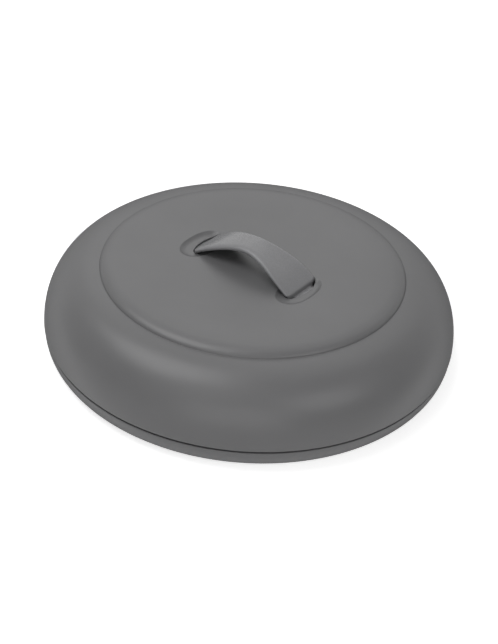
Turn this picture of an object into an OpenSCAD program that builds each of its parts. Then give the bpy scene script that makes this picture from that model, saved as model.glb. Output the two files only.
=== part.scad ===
// Electric tortilla warmer: a low round base with a heated plate, under a domed lid that lifts off.
// Millimetres. +Z is up, the front faces -Y, and the origin is on the table under the middle.

/* [Overall] */
// Radius where lid and base meet
outer_r = 155; // [153:0.5:157]
// Height of the feet
foot_h = 2.5; // [2.3:0.1:2.8]
// Height of the base band, from its bottom edge to the landing that carries the lid
band_h = 13.9; // [13.7:0.1:14.2]
// Open line between the landing and the lid's edge
parting_gap = 1.6; // [1.5:0.1:1.8]

/* [Lid] */
// Height of the dome from the lid's edge to the foot of the step
dome_h = 43.9; // [43:0.1:44.5]
// How far the dome's widest level lies below the lid's edge
dome_sink = 3; // [1:0.5:5]
// Squareness of the dome's shoulder, where 2 is an ellipse
dome_n = 2.25; // [2:0.05:2.5]
// Radius at the foot of the step round the plateau
step_r = 113.2; // [110:0.2:116]
// Height of the step
step_h = 4.25; // [3:0.05:5]
// Width of the step's rounded crest
step_w = 10; // [6:0.1:12]
// Wall of the lid shell
lid_wall = 2.8; // [2.6:0.1:3]
// Gap between the crown of the liner and the shell above it
liner_gap = 11.8; // [11.5:0.1:13]
// Wall of the liner
liner_t = 1.2; // [1:0.1:1.4]

/* [Handle] */
// Height of the strap's crown above the plateau
strap_rise = 14.25; // [14:0.05:16]
// Height that the arch loses between its crown and the bend into the slot
strap_drop = 16; // [15.6:0.05:16.2]
// Power of the arch's curve
strap_power = 1.75; // [1.7:0.05:2]
// Distance from the middle to the start of the bend
strap_reach = 43.2; // [42.5:0.1:43.6]
// Radius of the bend into the slot
strap_bend = 4.2; // [4:0.1:4.4]
// Thickness of the strap at its crown
strap_t = 4.1; // [3.6:0.1:4.4]
// Thickness of the strap inside the slot
tab_t = 3.1; // [3:0.1:3.4]
// Half the strap's width at its waist
strap_waist = 11.6; // [10:0.1:14]
// Half the strap's width at its shoulders
strap_shoulder = 17.2; // [16:0.1:17.4]
// Distance from the middle to the shoulders
shoulder_x = 42; // [40:0.1:43]
// Half the strap's width inside the slot
tab_half = 15; // [14:0.1:15.2]
// Depth of the scooped recess round each slot
recess_d = 2.5; // [2:0.1:3]
// Half the recess's length along the strap
recess_x = 15.5; // [13:0.1:17]
// Half the recess's length across the strap
recess_y = 27; // [24:0.1:29]

/* [Plate and heater] */
// Radius of the cooking surface
cook_r = 127.5; // [126:0.1:128]
// Thickness of the plate
plate_t = 3.5; // [3.4:0.1:4]
// Height of the plate's bead above the cooking surface
rim_h = 2; // [1.6:0.1:2.2]
// Radius of the heating loop
loop_r = 88; // [84:0.5:90]
// Radius of the heating tube
tube_r = 3.25; // [3:0.05:3.4]

/* [Rear panel] */
// Half the width of the flat rear panel
panel_half = 38; // [36:0.5:40]
// How far the panel lies inside the outer radius
panel_in = 9.5; // [9:0.1:10]
// Place of the inlet socket along the panel
socket_x = -16; // [-18:0.5:-15]
// Place of the switch along the panel
switch_x = 18; // [17:0.5:20]
// Tilt of the rocker to either side of level
rocker_tilt = 9.6; // [8:0.1:10]

/* [Hidden] */
land_z = foot_h + band_h;
edge_z = land_z + parting_gap;
step_z = edge_z + dome_h;
top_z = step_z + step_h;
dome_z = edge_z - dome_sink;
under_z = top_z - lid_wall;
band_wall = 2.6;
land_t = 2.6;
land_in = 130.5;
band_top_r = outer_r - 0.4;
band_foot_r = outer_r - 8.6;
band_n = 2.2;
edge_round = 0.6;
plate_r = outer_r - 16;
gasket_t = 1.2;
flange_z = land_z + gasket_t;
flange_t = 3;
plate_z = land_z + 2.6;
cook_z = plate_z + plate_t;
plate_screw_r = 136;
liner_in = plate_r + 1.4;
liner_out = liner_in + liner_t;
lid_flange_in = liner_out + 0.6;
lid_flange_z = edge_z + 1.5;
lid_flange_t = 2;
liner_screw_r = lid_flange_in + 2.2;
liner_rim_r = liner_screw_r + 2.6;
liner_z = under_z - liner_gap;
liner_crown_r = 96;
liner_n = 2.3;
cover_t = 2.2;
cover_r = band_foot_r - band_wall - 0.3;
cover_top = foot_h + cover_t;
boss_ring_r = 138.5;
cover_boss_r = 4;
foot_ring_r = 120;
slot_w = 12.8;
slot_half = 18;
slot_arc_r = 75;
slot_corner = 1.8;
tab_x = strap_reach + strap_bend * (1 - sin(arch_fall(strap_reach)));
slot_out = tab_x + 1.4;
foot_t = 3;
foot_half = 12.5;
foot_reach = 9;
grip_z = under_z - 4.2;
grip_r = 27;
anchor_t = 1.5;
anchor_x = tab_x + 6.7;
anchor_y = 16.2;
recess_r = (recess_x * recess_x + recess_d * recess_d) / (2 * recess_d);
recess_len_r = (recess_y * recess_y + recess_d * recess_d) / (2 * recess_d);
tube_z = plate_z - tube_r;
clip_angles = [190, 235, 270, 305, 350];
clip_in = 10;
shield_r = 108;
shield_z = foot_h + 3.5;
shield_boss_r = 100;
shield_angles = [30, 150, 270];
pad_t = 3.5;
pad_in = 30;
steel_t = 0.8;
lead_angle = 14;
elbow_r = 8;
lead_len = 6;
cold_pin_len = 6;
lead_dir = [sin(lead_angle), cos(lead_angle), 0];
lead_side = [-cos(lead_angle), sin(lead_angle), 0];
cold_end = (loop_r + elbow_r + lead_len + cold_pin_len) * lead_dir + elbow_r * lead_side + [0, 0, tube_z];
panel_y = outer_r - panel_in;
panel_t = 2.5;
rear_z = foot_h + 6.4;
pin_pitch = 8.6;
pin_r = 1.18;
shank_pin_r = 1;
pin_back_y = 120;
socket_half_w = 8.5;
socket_r = 4.4;
shroud_y = 131;
switch_y = 133.5;
bezel_t = 1.4;
pivot_y = panel_y - 4;
pivot_r = 1;
rocker_half_z = 2.9;
fuse_x = -30;
fuse_y = 26;
fuse_r = 2;
wire_r = 1.1;
screw_r = 1.4;
thermo_ear = 11.9;
shell_grey = "#767678";
strap_grey = "#8c8c8e";
steel = "#b4b6b8";
brass = "#c8a54b";
dark = "#3c3c3e";

// Leads inside the base, each from one terminal to the next
live_route = [
    [-11.7, 120, 8.9], [-11.7, 117, 8.9], [-8, 113.8, 8.9], [0, 113.2, 8.8], [8, 114, 8.8],
    [12.5, 117, 8.9], [14, 121.5, 8.9], [14, 126.5, 8.9]
];
switched_route = [
    [22, 126.5, 8.9], [22, 124, 8.9], [20, 121.5, 10.4], [14, 119.5, 12.5], [5, 117, 13.6],
    [-2, 112, 14.4], [-5, 104, 14.5], [-5, 90, 14.5], [-5, 60, 14.5], [-7, 38, 15],
    [-9.5, 28.5, 16.5], [-12.5, 26, 17], [-16.5, 26, 17]
];
fuse_route = [
    [-43.5, 26, 17], [-47, 26, 16.8], [-49.5, 22.5, 15.5], [-47, 10, 13.2], [-36, 1.5, 12],
    [-24, 0, 11.8], [-14, 0, 11.8]
];
thermostat_route = [
    [14, 0, 11.8], [20, 0, 11.8], [24, 4.5, 12.3], [22, 25, 14], [12, 60, 14.5], [7, 85, 14.5],
    [6, 100, 14.6], [7, 109, 15.2], [11.5, 113.8, 15.6], [16.5, 114.8, 15.75], [19.4, 113.2, 15.75],
    cold_end + 3.5 * lead_dir, cold_end
];
neutral_route = [
    [-20.3, 120, 8.9], [-20.3, 118, 8.9], [-20.2, 115.5, 11.2], [-19.8, 113, 14.6],
    flip_x(cold_end + 3 * lead_dir), flip_x(cold_end)
];

// Quarter of a superellipse, from [r1, z0] at angle 0 to [r0, z1] at angle 90
function quarter(r0, r1, z0, z1, n, from = 0, to = 90, steps = 24) = [
    for (i = [0:steps]) let (a = from + (to - from) * i / steps)
        [r0 + (r1 - r0) * pow(cos(a), 2 / n), z0 + (z1 - z0) * pow(sin(a), 2 / n)]
];
// Arc of a circle round [x, z], from one angle to another
function arc(x, z, r, from, to, steps = 6) = [
    for (i = [0:steps]) let (a = from + (to - from) * i / steps) [x + r * cos(a), z + r * sin(a)]
];
// The angle at which such a curve reaches the level z
function level(z, z0, z1, n) = asin(pow((z - z0) / (z1 - z0), n / 2));
function tail(list) = [for (i = [1:len(list) - 1]) list[i]];
function backwards(list) = [for (i = [len(list) - 1:-1:0]) list[i]];
function unit(v) = v / norm(v);
function flip_x(v) = [-v[0], v[1], v[2]];

// Fall of the strap's arch in degrees, and its height, at a distance x from the middle
function arch_fall(x) = atan(strap_drop * strap_power / strap_reach * pow(x / strap_reach, strap_power - 1));
function arch_z(x) = top_z + strap_rise - strap_drop * pow(x / strap_reach, strap_power);
function strap_half(x) = strap_waist + (strap_shoulder - strap_waist) * (1 - cos(180 * x / shoulder_x)) / 2;

// Catmull-Rom curve through a list of points, with sub steps between two of them
function smooth(p, sub) = concat([
    for (i = [0:len(p) - 2], j = [0:sub - 1])
        let (
            t = j / sub,
            a = p[max(i - 1, 0)],
            b = p[i],
            c = p[i + 1],
            d = p[min(i + 2, len(p) - 1)]
        )
        (2 * b + (c - a) * t + (2 * a - 5 * b + 4 * c - d) * t * t + (3 * b - a - 3 * c + d) * t * t * t) / 2
], [p[len(p) - 1]]);

// Closed skin over rings of points, all with the same count
module loft(rings) {
    n = len(rings[0]);
    last = len(rings) - 1;
    points = [for (ring = rings) each ring];
    sides = [
        for (i = [0:last - 1], k = [0:n - 1])
            let (a = i * n + k, b = i * n + (k + 1) % n)
            each [[a, b, b + n], [a, b + n, a + n]]
    ];
    start = [for (k = [1:n - 2]) [0, k + 1, k]];
    end = [for (k = [1:n - 2]) [last * n, last * n + k, last * n + k + 1]];
    polyhedron(points, concat(sides, start, end));
}

// Round lead along a route, whose sides stand square to it
module lead(route, r, sides = 8) {
    path = smooth(route, 2);
    last = len(path) - 1;
    end = len(route) - 1;
    loft([
        for (i = [0:last])
            let (
                along = unit(
                    i == 0 ? route[1] - route[0]
                    : i == last ? route[end] - route[end - 1]
                    : path[i + 1] - path[i - 1]
                ),
                across = unit(cross(along, [0, 0, 1])),
                up = cross(across, along)
            )
            [
                for (k = [0:sides - 1]) let (turn = 360 * k / sides)
                    path[i] + r * (cos(turn) * across + sin(turn) * up)
            ]
    ]);
}

// Screw that enters upwards from z = 0, with its cross-slotted head below
module screw(length, shank_r = screw_r, head_r = 2.6, head_h = 1.3) {
    slot = 0.7;
    difference() {
        union() {
            cylinder(r = shank_r, h = length, $fn = 32);
            rotate_extrude($fn = 48)
                polygon([
                    [0, 0], [head_r, 0], [head_r, -head_h * 0.5], [head_r * 0.8, -head_h], [0, -head_h]
                ]);
        }
        for (turn = [0, 90])
            rotate(turn)
                translate([-head_r * 0.6, -slot / 2, -head_h - 1])
                    cube([head_r * 1.2, slot, 1 + head_h * 0.5]);
    }
}

// Copies the children at each angle on a circle
module around(r, angles) {
    for (a = angles)
        rotate(a)
            translate([r, 0, 0])
                children();
}

function every(count, first = 0) = [for (i = [0:count - 1]) first + 360 * i / count];

// Saddle under a tube that runs along Y, with a foot that reaches towards -X
module saddle(r, reach, width) {
    clear = 0.15;
    t = 0.9;
    difference() {
        rotate([90, 0, 0])
            linear_extrude(width, center = true) {
                difference() {
                    circle(r = r + clear + t, $fn = 64);
                    circle(r = r + clear, $fn = 64);
                    translate([-3 * r, 0])
                        square([6 * r, 3 * r]);
                }
                translate([r + clear, -0.01])
                    square([t, r * 0.55]);
                translate([-reach - width / 2, -0.25 - t])
                    square([reach + width / 2 - r - clear - t * 0.3, t]);
            }
        translate([-reach, 0, -r])
            cylinder(r = screw_r + 0.1, h = 2 * r, $fn = 32);
    }
}

// Solid of the base band without its hollow
module band_solid() {
    rotate_extrude($fn = 180)
        polygon(concat(
            [[0, foot_h], [0, land_z]],
            [for (p = quarter(band_foot_r, band_top_r, land_z, foot_h, band_n)) p]
        ));
}

module base_housing() {
    lip_t = 2.2;
    lip_h = 2.3;
    gap_half = 28;
    back = 20;
    brow = 2.4;
    shroud_half = socket_half_w + 3;
    opening_half = 7.6;
    opening_half_z = 4.1;
    inner = quarter(band_foot_r - band_wall, band_top_r - band_wall, land_z - land_t, foot_h, band_n);
    round_z = land_z - edge_round;
    outer = quarter(band_foot_r, band_top_r, land_z, foot_h, band_n, level(round_z, land_z, foot_h, band_n));
    color(shell_grey)
        difference() {
            union() {
                difference() {
                    rotate_extrude($fn = 180)
                        polygon(concat(
                            [
                                [land_in + lip_t, land_z - land_t],
                                [land_in + lip_t, land_z - land_t - lip_h],
                                [land_in, land_z - land_t - lip_h],
                                [land_in, land_z]
                            ],
                            arc(outer[0][0] - edge_round, round_z, edge_round, 90, 0, 3),
                            tail(outer),
                            backwards(inner)
                        ));
                    // the stiffening lip stops either side of the rear panel
                    translate([-gap_half, shroud_y - 12, land_z - land_t - lip_h - 1])
                        cube([2 * gap_half, 18, lip_h + 1]);
                }
                intersection() {
                    band_solid();
                    union() {
                        translate([-panel_half - 2.5, panel_y - panel_t, foot_h])
                            cube([2 * panel_half + 5, back, band_h - 1]);
                        translate([socket_x - shroud_half, shroud_y, foot_h])
                            cube([2 * shroud_half, back, band_h - 1]);
                    }
                }
                // posts for the cover screws
                around(boss_ring_r, every(6))
                    translate([0, 0, cover_top])
                        cylinder(r = cover_boss_r, h = land_z - land_t - cover_top + 0.5, $fn = 48);
            }
            // the band is cut back to a flat panel at the rear
            translate([-panel_half, panel_y, foot_h - 1])
                cube([2 * panel_half, back, band_h - brow + 1]);
            // figure-of-eight inlet socket
            translate([socket_x, shroud_y - 1, rear_z])
                rotate([-90, 0, 0])
                    linear_extrude(30)
                        union() {
                            for (side = [-1, 1])
                                translate([side * (socket_half_w - socket_r), 0])
                                    circle(r = socket_r, $fn = 64);
                            square([2 * (socket_half_w - socket_r), 2 * socket_r * 0.94], center = true);
                        }
            // opening for the switch
            translate([switch_x - opening_half, panel_y - 10, rear_z - opening_half_z])
                cube([2 * opening_half, back, 2 * opening_half_z]);
            around(boss_ring_r, every(6))
                translate([0, 0, cover_top - 1])
                    cylinder(r = screw_r + 0.1, h = 8, $fn = 32);
            around(plate_screw_r, every(4, 45))
                translate([0, 0, land_z - land_t - 1])
                    cylinder(r = screw_r + 0.3, h = land_t + 2, $fn = 32);
        }
}

module bottom_cover() {
    head_r = 3;
    slot_in = 58;
    slot_out_r = 92;
    slot_half_w = 1.6;
    well_r = 104;
    well_h = 0.6;
    ease = 0.6;
    panel_gap = 2.8;
    shroud_gap = 3.3;
    color(shell_grey)
        difference() {
            rotate_extrude($fn = 180)
                polygon([
                    [0, foot_h + well_h], [well_r, foot_h + well_h], [well_r + 2, foot_h],
                    [cover_r - ease, foot_h], [cover_r, foot_h + ease], [cover_r, cover_top],
                    [0, cover_top]
                ]);
            // ventilation slots
            for (a = every(24, 7.5))
                rotate(a)
                    translate([0, 0, foot_h - 1])
                        linear_extrude(cover_t + 2)
                            union() {
                                translate([slot_in, -slot_half_w])
                                    square([slot_out_r - slot_in, 2 * slot_half_w]);
                                for (x = [slot_in, slot_out_r])
                                    translate([x, 0])
                                        circle(r = slot_half_w, $fn = 32);
                            }
            around(boss_ring_r, every(6))
                translate([0, 0, foot_h - 1]) {
                    cylinder(r = screw_r + 0.2, h = 5, $fn = 32);
                    cylinder(r = head_r, h = 1 + 1.3, $fn = 48);
                }
            around(foot_ring_r, every(4, 45))
                translate([0, 0, foot_h - 1])
                    cylinder(r = 2.5, h = 5, $fn = 48);
            // the rear edge makes room for the panel and the inlet shroud
            translate([-panel_half - panel_gap, panel_y - panel_t - 0.3, foot_h - 1])
                cube([2 * (panel_half + panel_gap), 20, 5]);
            translate([socket_x - socket_half_w - shroud_gap, shroud_y - 0.3, foot_h - 1])
                cube([2 * (socket_half_w + shroud_gap), 20, 5]);
        }
}

// One foot, in the place given by its number from 1 to 4
module foot(number) {
    pad_r = 8;
    neck_r = 2.4;
    barb_r = 3.4;
    barb_h = 1.8;
    color(dark)
        rotate(45 + 90 * (number - 1))
            translate([foot_ring_r, 0, 0])
                rotate_extrude($fn = 64)
                    polygon([
                        [0, 0], [pad_r - 1, 0], [pad_r, 0.8], [pad_r, foot_h], [neck_r, foot_h],
                        [neck_r, cover_top], [barb_r, cover_top], [barb_r - 0.3, cover_top + 1],
                        [barb_r - barb_h, cover_top + barb_h], [0, cover_top + barb_h]
                    ]);
}

module heating_plate() {
    boss_r = 3.6;
    bead_r = 1.6;
    bead_x = cook_r + 3.6;
    flange_top = flange_z + flange_t;
    ease = 0.5;
    color(dark)
        difference() {
            union() {
                rotate_extrude($fn = 180)
                    polygon(concat(
                        [
                            [0, plate_z], [land_in - 1, plate_z], [land_in - 1, flange_z],
                            [plate_r, flange_z], [plate_r, flange_top - ease],
                            [plate_r - ease, flange_top], [bead_x + bead_r + 0.8, flange_top]
                        ],
                        arc(bead_x, cook_z + rim_h - bead_r, bead_r, 0, 155),
                        [[cook_r + 0.9, cook_z + 0.25], [cook_r, cook_z], [0, cook_z]]
                    ));
                around(loop_r - clip_in, clip_angles)
                    translate([0, 0, tube_z - 0.25])
                        cylinder(r = boss_r, h = tube_r + 0.5, $fn = 48);
                around(shield_boss_r, shield_angles)
                    translate([0, 0, shield_z + steel_t])
                        cylinder(r = boss_r, h = plate_z - shield_z - steel_t + 0.5, $fn = 48);
                for (side = [-1, 1])
                    translate([0, side * thermo_ear, plate_z - 0.6])
                        cylinder(r = 2.9, h = 1, $fn = 48);
                translate([fuse_x, fuse_y - 8, plate_z - fuse_r - 0.25])
                    cylinder(r = boss_r, h = fuse_r + 0.5, $fn = 48);
            }
            around(loop_r - clip_in, clip_angles)
                translate([0, 0, tube_z - 1])
                    cylinder(r = screw_r + 0.05, h = 5, $fn = 32);
            around(shield_boss_r, shield_angles)
                translate([0, 0, shield_z])
                    cylinder(r = screw_r + 0.05, h = 9, $fn = 32);
            for (side = [-1, 1])
                translate([0, side * thermo_ear, plate_z - 1])
                    cylinder(r = screw_r + 0.05, h = 3.4, $fn = 32);
            translate([fuse_x, fuse_y - 8, plate_z - fuse_r - 1])
                cylinder(r = screw_r + 0.05, h = 5, $fn = 32);
            around(plate_screw_r, every(4, 45))
                translate([0, 0, flange_z - 1])
                    cylinder(r = screw_r + 0.05, h = 3.5, $fn = 32);
        }
}

module plate_gasket() {
    color("#a04030")
        difference() {
            translate([0, 0, land_z])
                cylinder(r = plate_r, h = gasket_t, $fn = 180);
            translate([0, 0, land_z - 1])
                cylinder(r = land_in, h = gasket_t + 2, $fn = 180);
            around(plate_screw_r, every(4, 45))
                translate([0, 0, land_z - 1])
                    cylinder(r = screw_r + 0.3, h = gasket_t + 2, $fn = 32);
        }
}

module heating_element() {
    color(steel)
        translate([0, 0, tube_z]) {
            rotate(90 + lead_angle)
                rotate_extrude(angle = 360 - 2 * lead_angle, $fn = 180)
                    translate([loop_r, 0])
                        circle(r = tube_r, $fn = 32);
            // each end bends outwards into a straight lead with a cold pin
            for (side = [0, 1])
                mirror([side, 0, 0])
                    rotate(90 - lead_angle)
                        translate([loop_r + elbow_r, 0, 0]) {
                            rotate(90)
                                rotate_extrude(angle = 90, $fn = 96)
                                    translate([elbow_r, 0])
                                        circle(r = tube_r, $fn = 32);
                            translate([0, elbow_r, 0])
                                rotate([0, 90, 0]) {
                                    cylinder(r = tube_r, h = lead_len, $fn = 32);
                                    cylinder(r = 1.2, h = lead_len + cold_pin_len, $fn = 32);
                                }
                        }
        }
}

module element_clips() {
    color(steel)
        around(loop_r, clip_angles)
            translate([0, 0, tube_z])
                saddle(tube_r, clip_in, 8);
}

module element_screws() {
    color(steel)
        around(loop_r - clip_in, clip_angles)
            translate([0, 0, tube_z - 0.25 - 0.9])
                screw(4.5);
}

module heat_shield() {
    rim = 3;
    color(steel)
        difference() {
            rotate_extrude($fn = 180)
                polygon([
                    [0, shield_z], [shield_r, shield_z], [shield_r, shield_z + rim],
                    [shield_r - steel_t, shield_z + rim], [shield_r - steel_t, shield_z + steel_t],
                    [0, shield_z + steel_t]
                ]);
            around(shield_boss_r, shield_angles)
                translate([0, 0, shield_z - 1])
                    cylinder(r = screw_r + 0.2, h = 3, $fn = 32);
        }
}

module insulation_pad() {
    color("#e6e0d0")
        difference() {
            translate([0, 0, shield_z + steel_t])
                cylinder(r = shield_r - steel_t - 0.6, h = pad_t, $fn = 180);
            translate([0, 0, shield_z])
                cylinder(r = pad_in, h = pad_t + 2, $fn = 96);
            around(shield_boss_r, shield_angles)
                translate([0, 0, shield_z])
                    cylinder(r = 4.4, h = pad_t + 2, $fn = 48);
        }
}

module shield_screws() {
    color(steel)
        around(shield_boss_r, shield_angles)
            translate([0, 0, shield_z])
                screw(7, head_h = 1.1);
}

module thermostat() {
    cup_r = 8;
    cup_z = 13.2;
    body_z = 10.9;
    tab_z = 11.4;
    tab_half_w = 2.4;
    color(steel)
        union() {
            translate([0, 0, cup_z])
                cylinder(r = cup_r, h = plate_z - cup_z, $fn = 64);
            translate([0, 0, plate_z - 0.6])
                cylinder(r = cup_r + 0.9, h = 0.6, $fn = 64);
            translate([0, 0, body_z])
                cylinder(r = cup_r - 0.6, h = cup_z - body_z + 0.1, $fn = 64);
            for (side = [0, 1])
                mirror([side, 0, 0])
                    translate([cup_r - 2, -tab_half_w, tab_z])
                        cube([8, 2 * tab_half_w, 0.8]);
        }
}

module thermostat_bracket() {
    color(steel)
        translate([0, 0, plate_z - 0.6 - steel_t])
            linear_extrude(steel_t)
                difference() {
                    union() {
                        circle(r = 10.4, $fn = 64);
                        square([7, 2 * thermo_ear], center = true);
                        for (side = [-1, 1])
                            translate([0, side * thermo_ear])
                                circle(r = 3.5, $fn = 48);
                    }
                    circle(r = 8.1, $fn = 64);
                    for (side = [-1, 1])
                        translate([0, side * thermo_ear])
                            circle(r = screw_r + 0.2, $fn = 32);
                }
}

module bracket_screws() {
    color(steel)
        for (side = [-1, 1])
            translate([0, side * thermo_ear, plate_z - 0.6 - steel_t])
                screw(3.4);
}

module thermal_fuse() {
    body_half = 5.5;
    lead_half = 13.5;
    color("#d8d0c0")
        translate([fuse_x, fuse_y, plate_z - fuse_r])
            rotate([0, 90, 0]) {
                cylinder(r = fuse_r, h = 2 * body_half, center = true, $fn = 48);
                cylinder(r = 0.6, h = 2 * lead_half, center = true, $fn = 24);
            }
}

module fuse_clip() {
    color(steel)
        translate([fuse_x, fuse_y, plate_z - fuse_r])
            rotate(90)
                saddle(fuse_r, 8, 5);
}

module fuse_screw() {
    color(steel)
        translate([fuse_x, fuse_y - 8, plate_z - fuse_r - 0.25 - 0.9])
            screw(3.6);
}

module plate_screws() {
    color(steel)
        around(plate_screw_r, every(4, 45))
            translate([0, 0, land_z - land_t])
                screw(land_t + gasket_t + 2.2);
}

module cover_screws() {
    color(steel)
        around(boss_ring_r, every(6))
            translate([0, 0, foot_h + 1.3])
                screw(7, head_r = 2.8, head_h = 1.2);
}

module inlet_carrier() {
    depth = 6.5;
    half = 11;
    height = 8.8;
    rib_half_z = 3;
    color(dark)
        difference() {
            union() {
                translate([socket_x - half, shroud_y - depth, cover_top + 0.2])
                    cube([2 * half, depth, height]);
                // the rib that fills the end of the socket
                translate([socket_x - pin_pitch / 2, shroud_y - 0.5, rear_z - rib_half_z])
                    cube([pin_pitch, 1.5, 2 * rib_half_z]);
            }
            for (side = [-1, 1])
                translate([socket_x + side * pin_pitch / 2, shroud_y - depth - 1, rear_z])
                    rotate([-90, 0, 0])
                        cylinder(r = shank_pin_r + 0.02, h = depth + 4, $fn = 32);
        }
}

module inlet_pins() {
    tip = panel_y - 2.5 - pin_back_y;
    shoulder = shroud_y + 1 - pin_back_y;
    color(brass)
        for (side = [-1, 1])
            translate([socket_x + side * pin_pitch / 2, pin_back_y, rear_z])
                rotate([-90, 0, 0])
                    rotate_extrude($fn = 32)
                        polygon([
                            [0, 0], [shank_pin_r, 0], [shank_pin_r, shoulder], [pin_r, shoulder],
                            [pin_r, tip - 0.8], [pin_r - 0.6, tip], [0, tip]
                        ]);
}

module switch_housing() {
    body_half = 7.5;
    body_half_z = 4;
    bore_half = 6.9;
    cavity_half_z = rocker_half_z + 0.1;
    floor_t = 1.5;
    bezel_half = 8.6;
    bezel_half_z = 4.6;
    blade_half_z = 2.05;
    color(dark)
        difference() {
            union() {
                translate([switch_x - body_half, switch_y, rear_z - body_half_z])
                    cube([2 * body_half, panel_y - switch_y + 0.5, 2 * body_half_z]);
                translate([switch_x - bezel_half, panel_y, rear_z - bezel_half_z])
                    cube([2 * bezel_half, bezel_t, 2 * bezel_half_z]);
            }
            translate([switch_x - bore_half, switch_y + floor_t, rear_z - cavity_half_z])
                cube([2 * bore_half, 20, 2 * cavity_half_z]);
            translate([switch_x, pivot_y, rear_z - cavity_half_z - 0.85])
                cylinder(r = pivot_r + 0.05, h = 2 * cavity_half_z + 1.7, $fn = 32);
            for (side = [-1, 1])
                translate([switch_x + 4 * side - 0.45, switch_y - 1, rear_z - blade_half_z])
                    cube([0.9, floor_t + 2, 2 * blade_half_z]);
        }
}

module switch_terminals() {
    back_y = 126.5;
    color(brass)
        for (side = [-1, 1])
            translate([switch_x + 4 * side - 0.4, back_y, rear_z - 2])
                cube([0.8, switch_y - back_y + 2, 4]);
}

// Rocker stored in its off position, with the side next to the middle pressed in
module switch_rocker() {
    half = 5.6;
    end_y = 6.2;
    mid_y = end_y - half * tan(rocker_tilt);
    stub = 0.75;
    color("#202022")
        translate([switch_x, pivot_y, rear_z])
            rotate(-rocker_tilt) {
                translate([0, 0, -rocker_half_z])
                    linear_extrude(2 * rocker_half_z)
                        polygon([
                            [-half, end_y], [-half, 1.5], [-2.6, -1.6], [2.6, -1.6], [half, 1.5],
                            [half, end_y], [0, mid_y]
                        ]);
                cylinder(r = pivot_r, h = 2 * (rocker_half_z + stub), center = true, $fn = 32);
            }
}

module wire_live() {
    color("#7a4a2a")
        lead(live_route, wire_r);
}

module wire_switched() {
    color("#7a4a2a")
        lead(switched_route, wire_r);
}

module wire_fuse() {
    color("#e8e8e8")
        lead(fuse_route, wire_r);
}

module wire_thermostat() {
    color("#e8e8e8")
        lead(thermostat_route, wire_r);
}

module wire_neutral() {
    color("#2a5a9a")
        lead(neutral_route, wire_r);
}

// Scoop cut into the plateau round one slot: a barrel that lies across the strap
module recess() {
    steps = 16;
    span = recess_y + 3;
    translate([slot_out - 0.5, 0, top_z + recess_r - recess_d])
        rotate([90, 0, 0])
            rotate_extrude($fn = 180)
                polygon(concat(
                    [[0, -span]],
                    [for (i = [-steps:steps]) let (y = span * i / steps)
                        [recess_r - recess_len_r + sqrt(recess_len_r * recess_len_r - y * y), y]],
                    [[0, span]]
                ));
}

// Outline of one slot: a bulging outer side, a straight inner side and rounded corners
function slot_outline() = let (
    corner_y = slot_half - slot_corner,
    corner_in = slot_out - slot_w + slot_corner,
    fan = asin(corner_y / (slot_arc_r - slot_corner)),
    corner_out = slot_out - slot_arc_r + (slot_arc_r - slot_corner) * cos(fan)
) concat(
    arc(slot_out - slot_arc_r, 0, slot_arc_r, -fan, fan, 12),
    tail(arc(corner_out, corner_y, slot_corner, fan, 90, 4)),
    arc(corner_in, corner_y, slot_corner, 90, 180, 4),
    arc(corner_in, -corner_y, slot_corner, 180, 270, 4),
    [for (i = [0:3]) let (a = -90 + (90 - fan) * i / 4)
        [corner_out + slot_corner * cos(a), -corner_y + slot_corner * sin(a)]]
);

module lid_shell() {
    rim_in = outer_r - lid_wall;
    in_z = step_z - lid_wall;
    round_z = edge_z + edge_round;
    outer = quarter(step_r, outer_r, dome_z, step_z, dome_n, level(round_z, dome_z, step_z, dome_n));
    crest = quarter(step_r - step_w, step_r, step_z, top_z, 2, steps = 10);
    under_crest = quarter(step_r - step_w - 1, step_r - 1, in_z, under_z, 2, steps = 8);
    flange_top = lid_flange_z + lid_flange_t;
    inner = quarter(step_r, rim_in, dome_z, in_z, dome_n, level(flange_top, dome_z, in_z, dome_n));
    color(shell_grey)
        difference() {
            union() {
                rotate_extrude($fn = 180)
                    polygon(concat(
                        arc(outer[0][0] - edge_round, round_z, edge_round, -90, 0, 3),
                        tail(outer),
                        tail(crest),
                        [[0, top_z], [0, under_z]],
                        backwards(under_crest),
                        backwards(inner),
                        [
                            [lid_flange_in, flange_top], [lid_flange_in, lid_flange_z],
                            [rim_in, lid_flange_z], [rim_in, edge_z]
                        ]
                    ));
                // thick pads that carry the slots and the handle screws
                for (side = [-1, 1])
                    translate([side * tab_x, 0, grip_z])
                        cylinder(r = grip_r, h = under_z - grip_z + 1, $fn = 96);
                around(liner_screw_r, every(6, 30))
                    translate([0, 0, lid_flange_z + 1])
                        cylinder(r = 2.2, h = 5.5, $fn = 32);
            }
            for (side = [0, 1])
                mirror([side, 0, 0]) {
                    recess();
                    translate([0, 0, grip_z - 1])
                        linear_extrude(12)
                            polygon(slot_outline());
                    for (end = [-1, 1])
                        translate([anchor_x, end * anchor_y, grip_z - 1])
                            cylinder(r = screw_r + 0.05, h = 3.7, $fn = 32);
                }
            around(liner_screw_r, every(6, 30))
                translate([0, 0, lid_flange_z - 1])
                    cylinder(r = 1.05, h = 6.5, $fn = 32);
        }
}

module lid_liner() {
    rise = quarter(liner_crown_r, liner_out, edge_z, liner_z, liner_n,
        level(lid_flange_z, edge_z, liner_z, liner_n));
    hollow = quarter(liner_crown_r, liner_in, edge_z - 0.01, liner_z - liner_t, liner_n);
    color(steel)
        difference() {
            rotate_extrude($fn = 180)
                polygon(concat(
                    [[liner_rim_r, edge_z], [liner_rim_r, lid_flange_z]],
                    rise,
                    [[0, liner_z], [0, liner_z - liner_t]],
                    backwards(hollow),
                    [[liner_in, edge_z]]
                ));
            around(liner_screw_r, every(6, 30))
                translate([0, 0, edge_z - 1])
                    cylinder(r = 1.2, h = 4, $fn = 32);
        }
}

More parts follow.
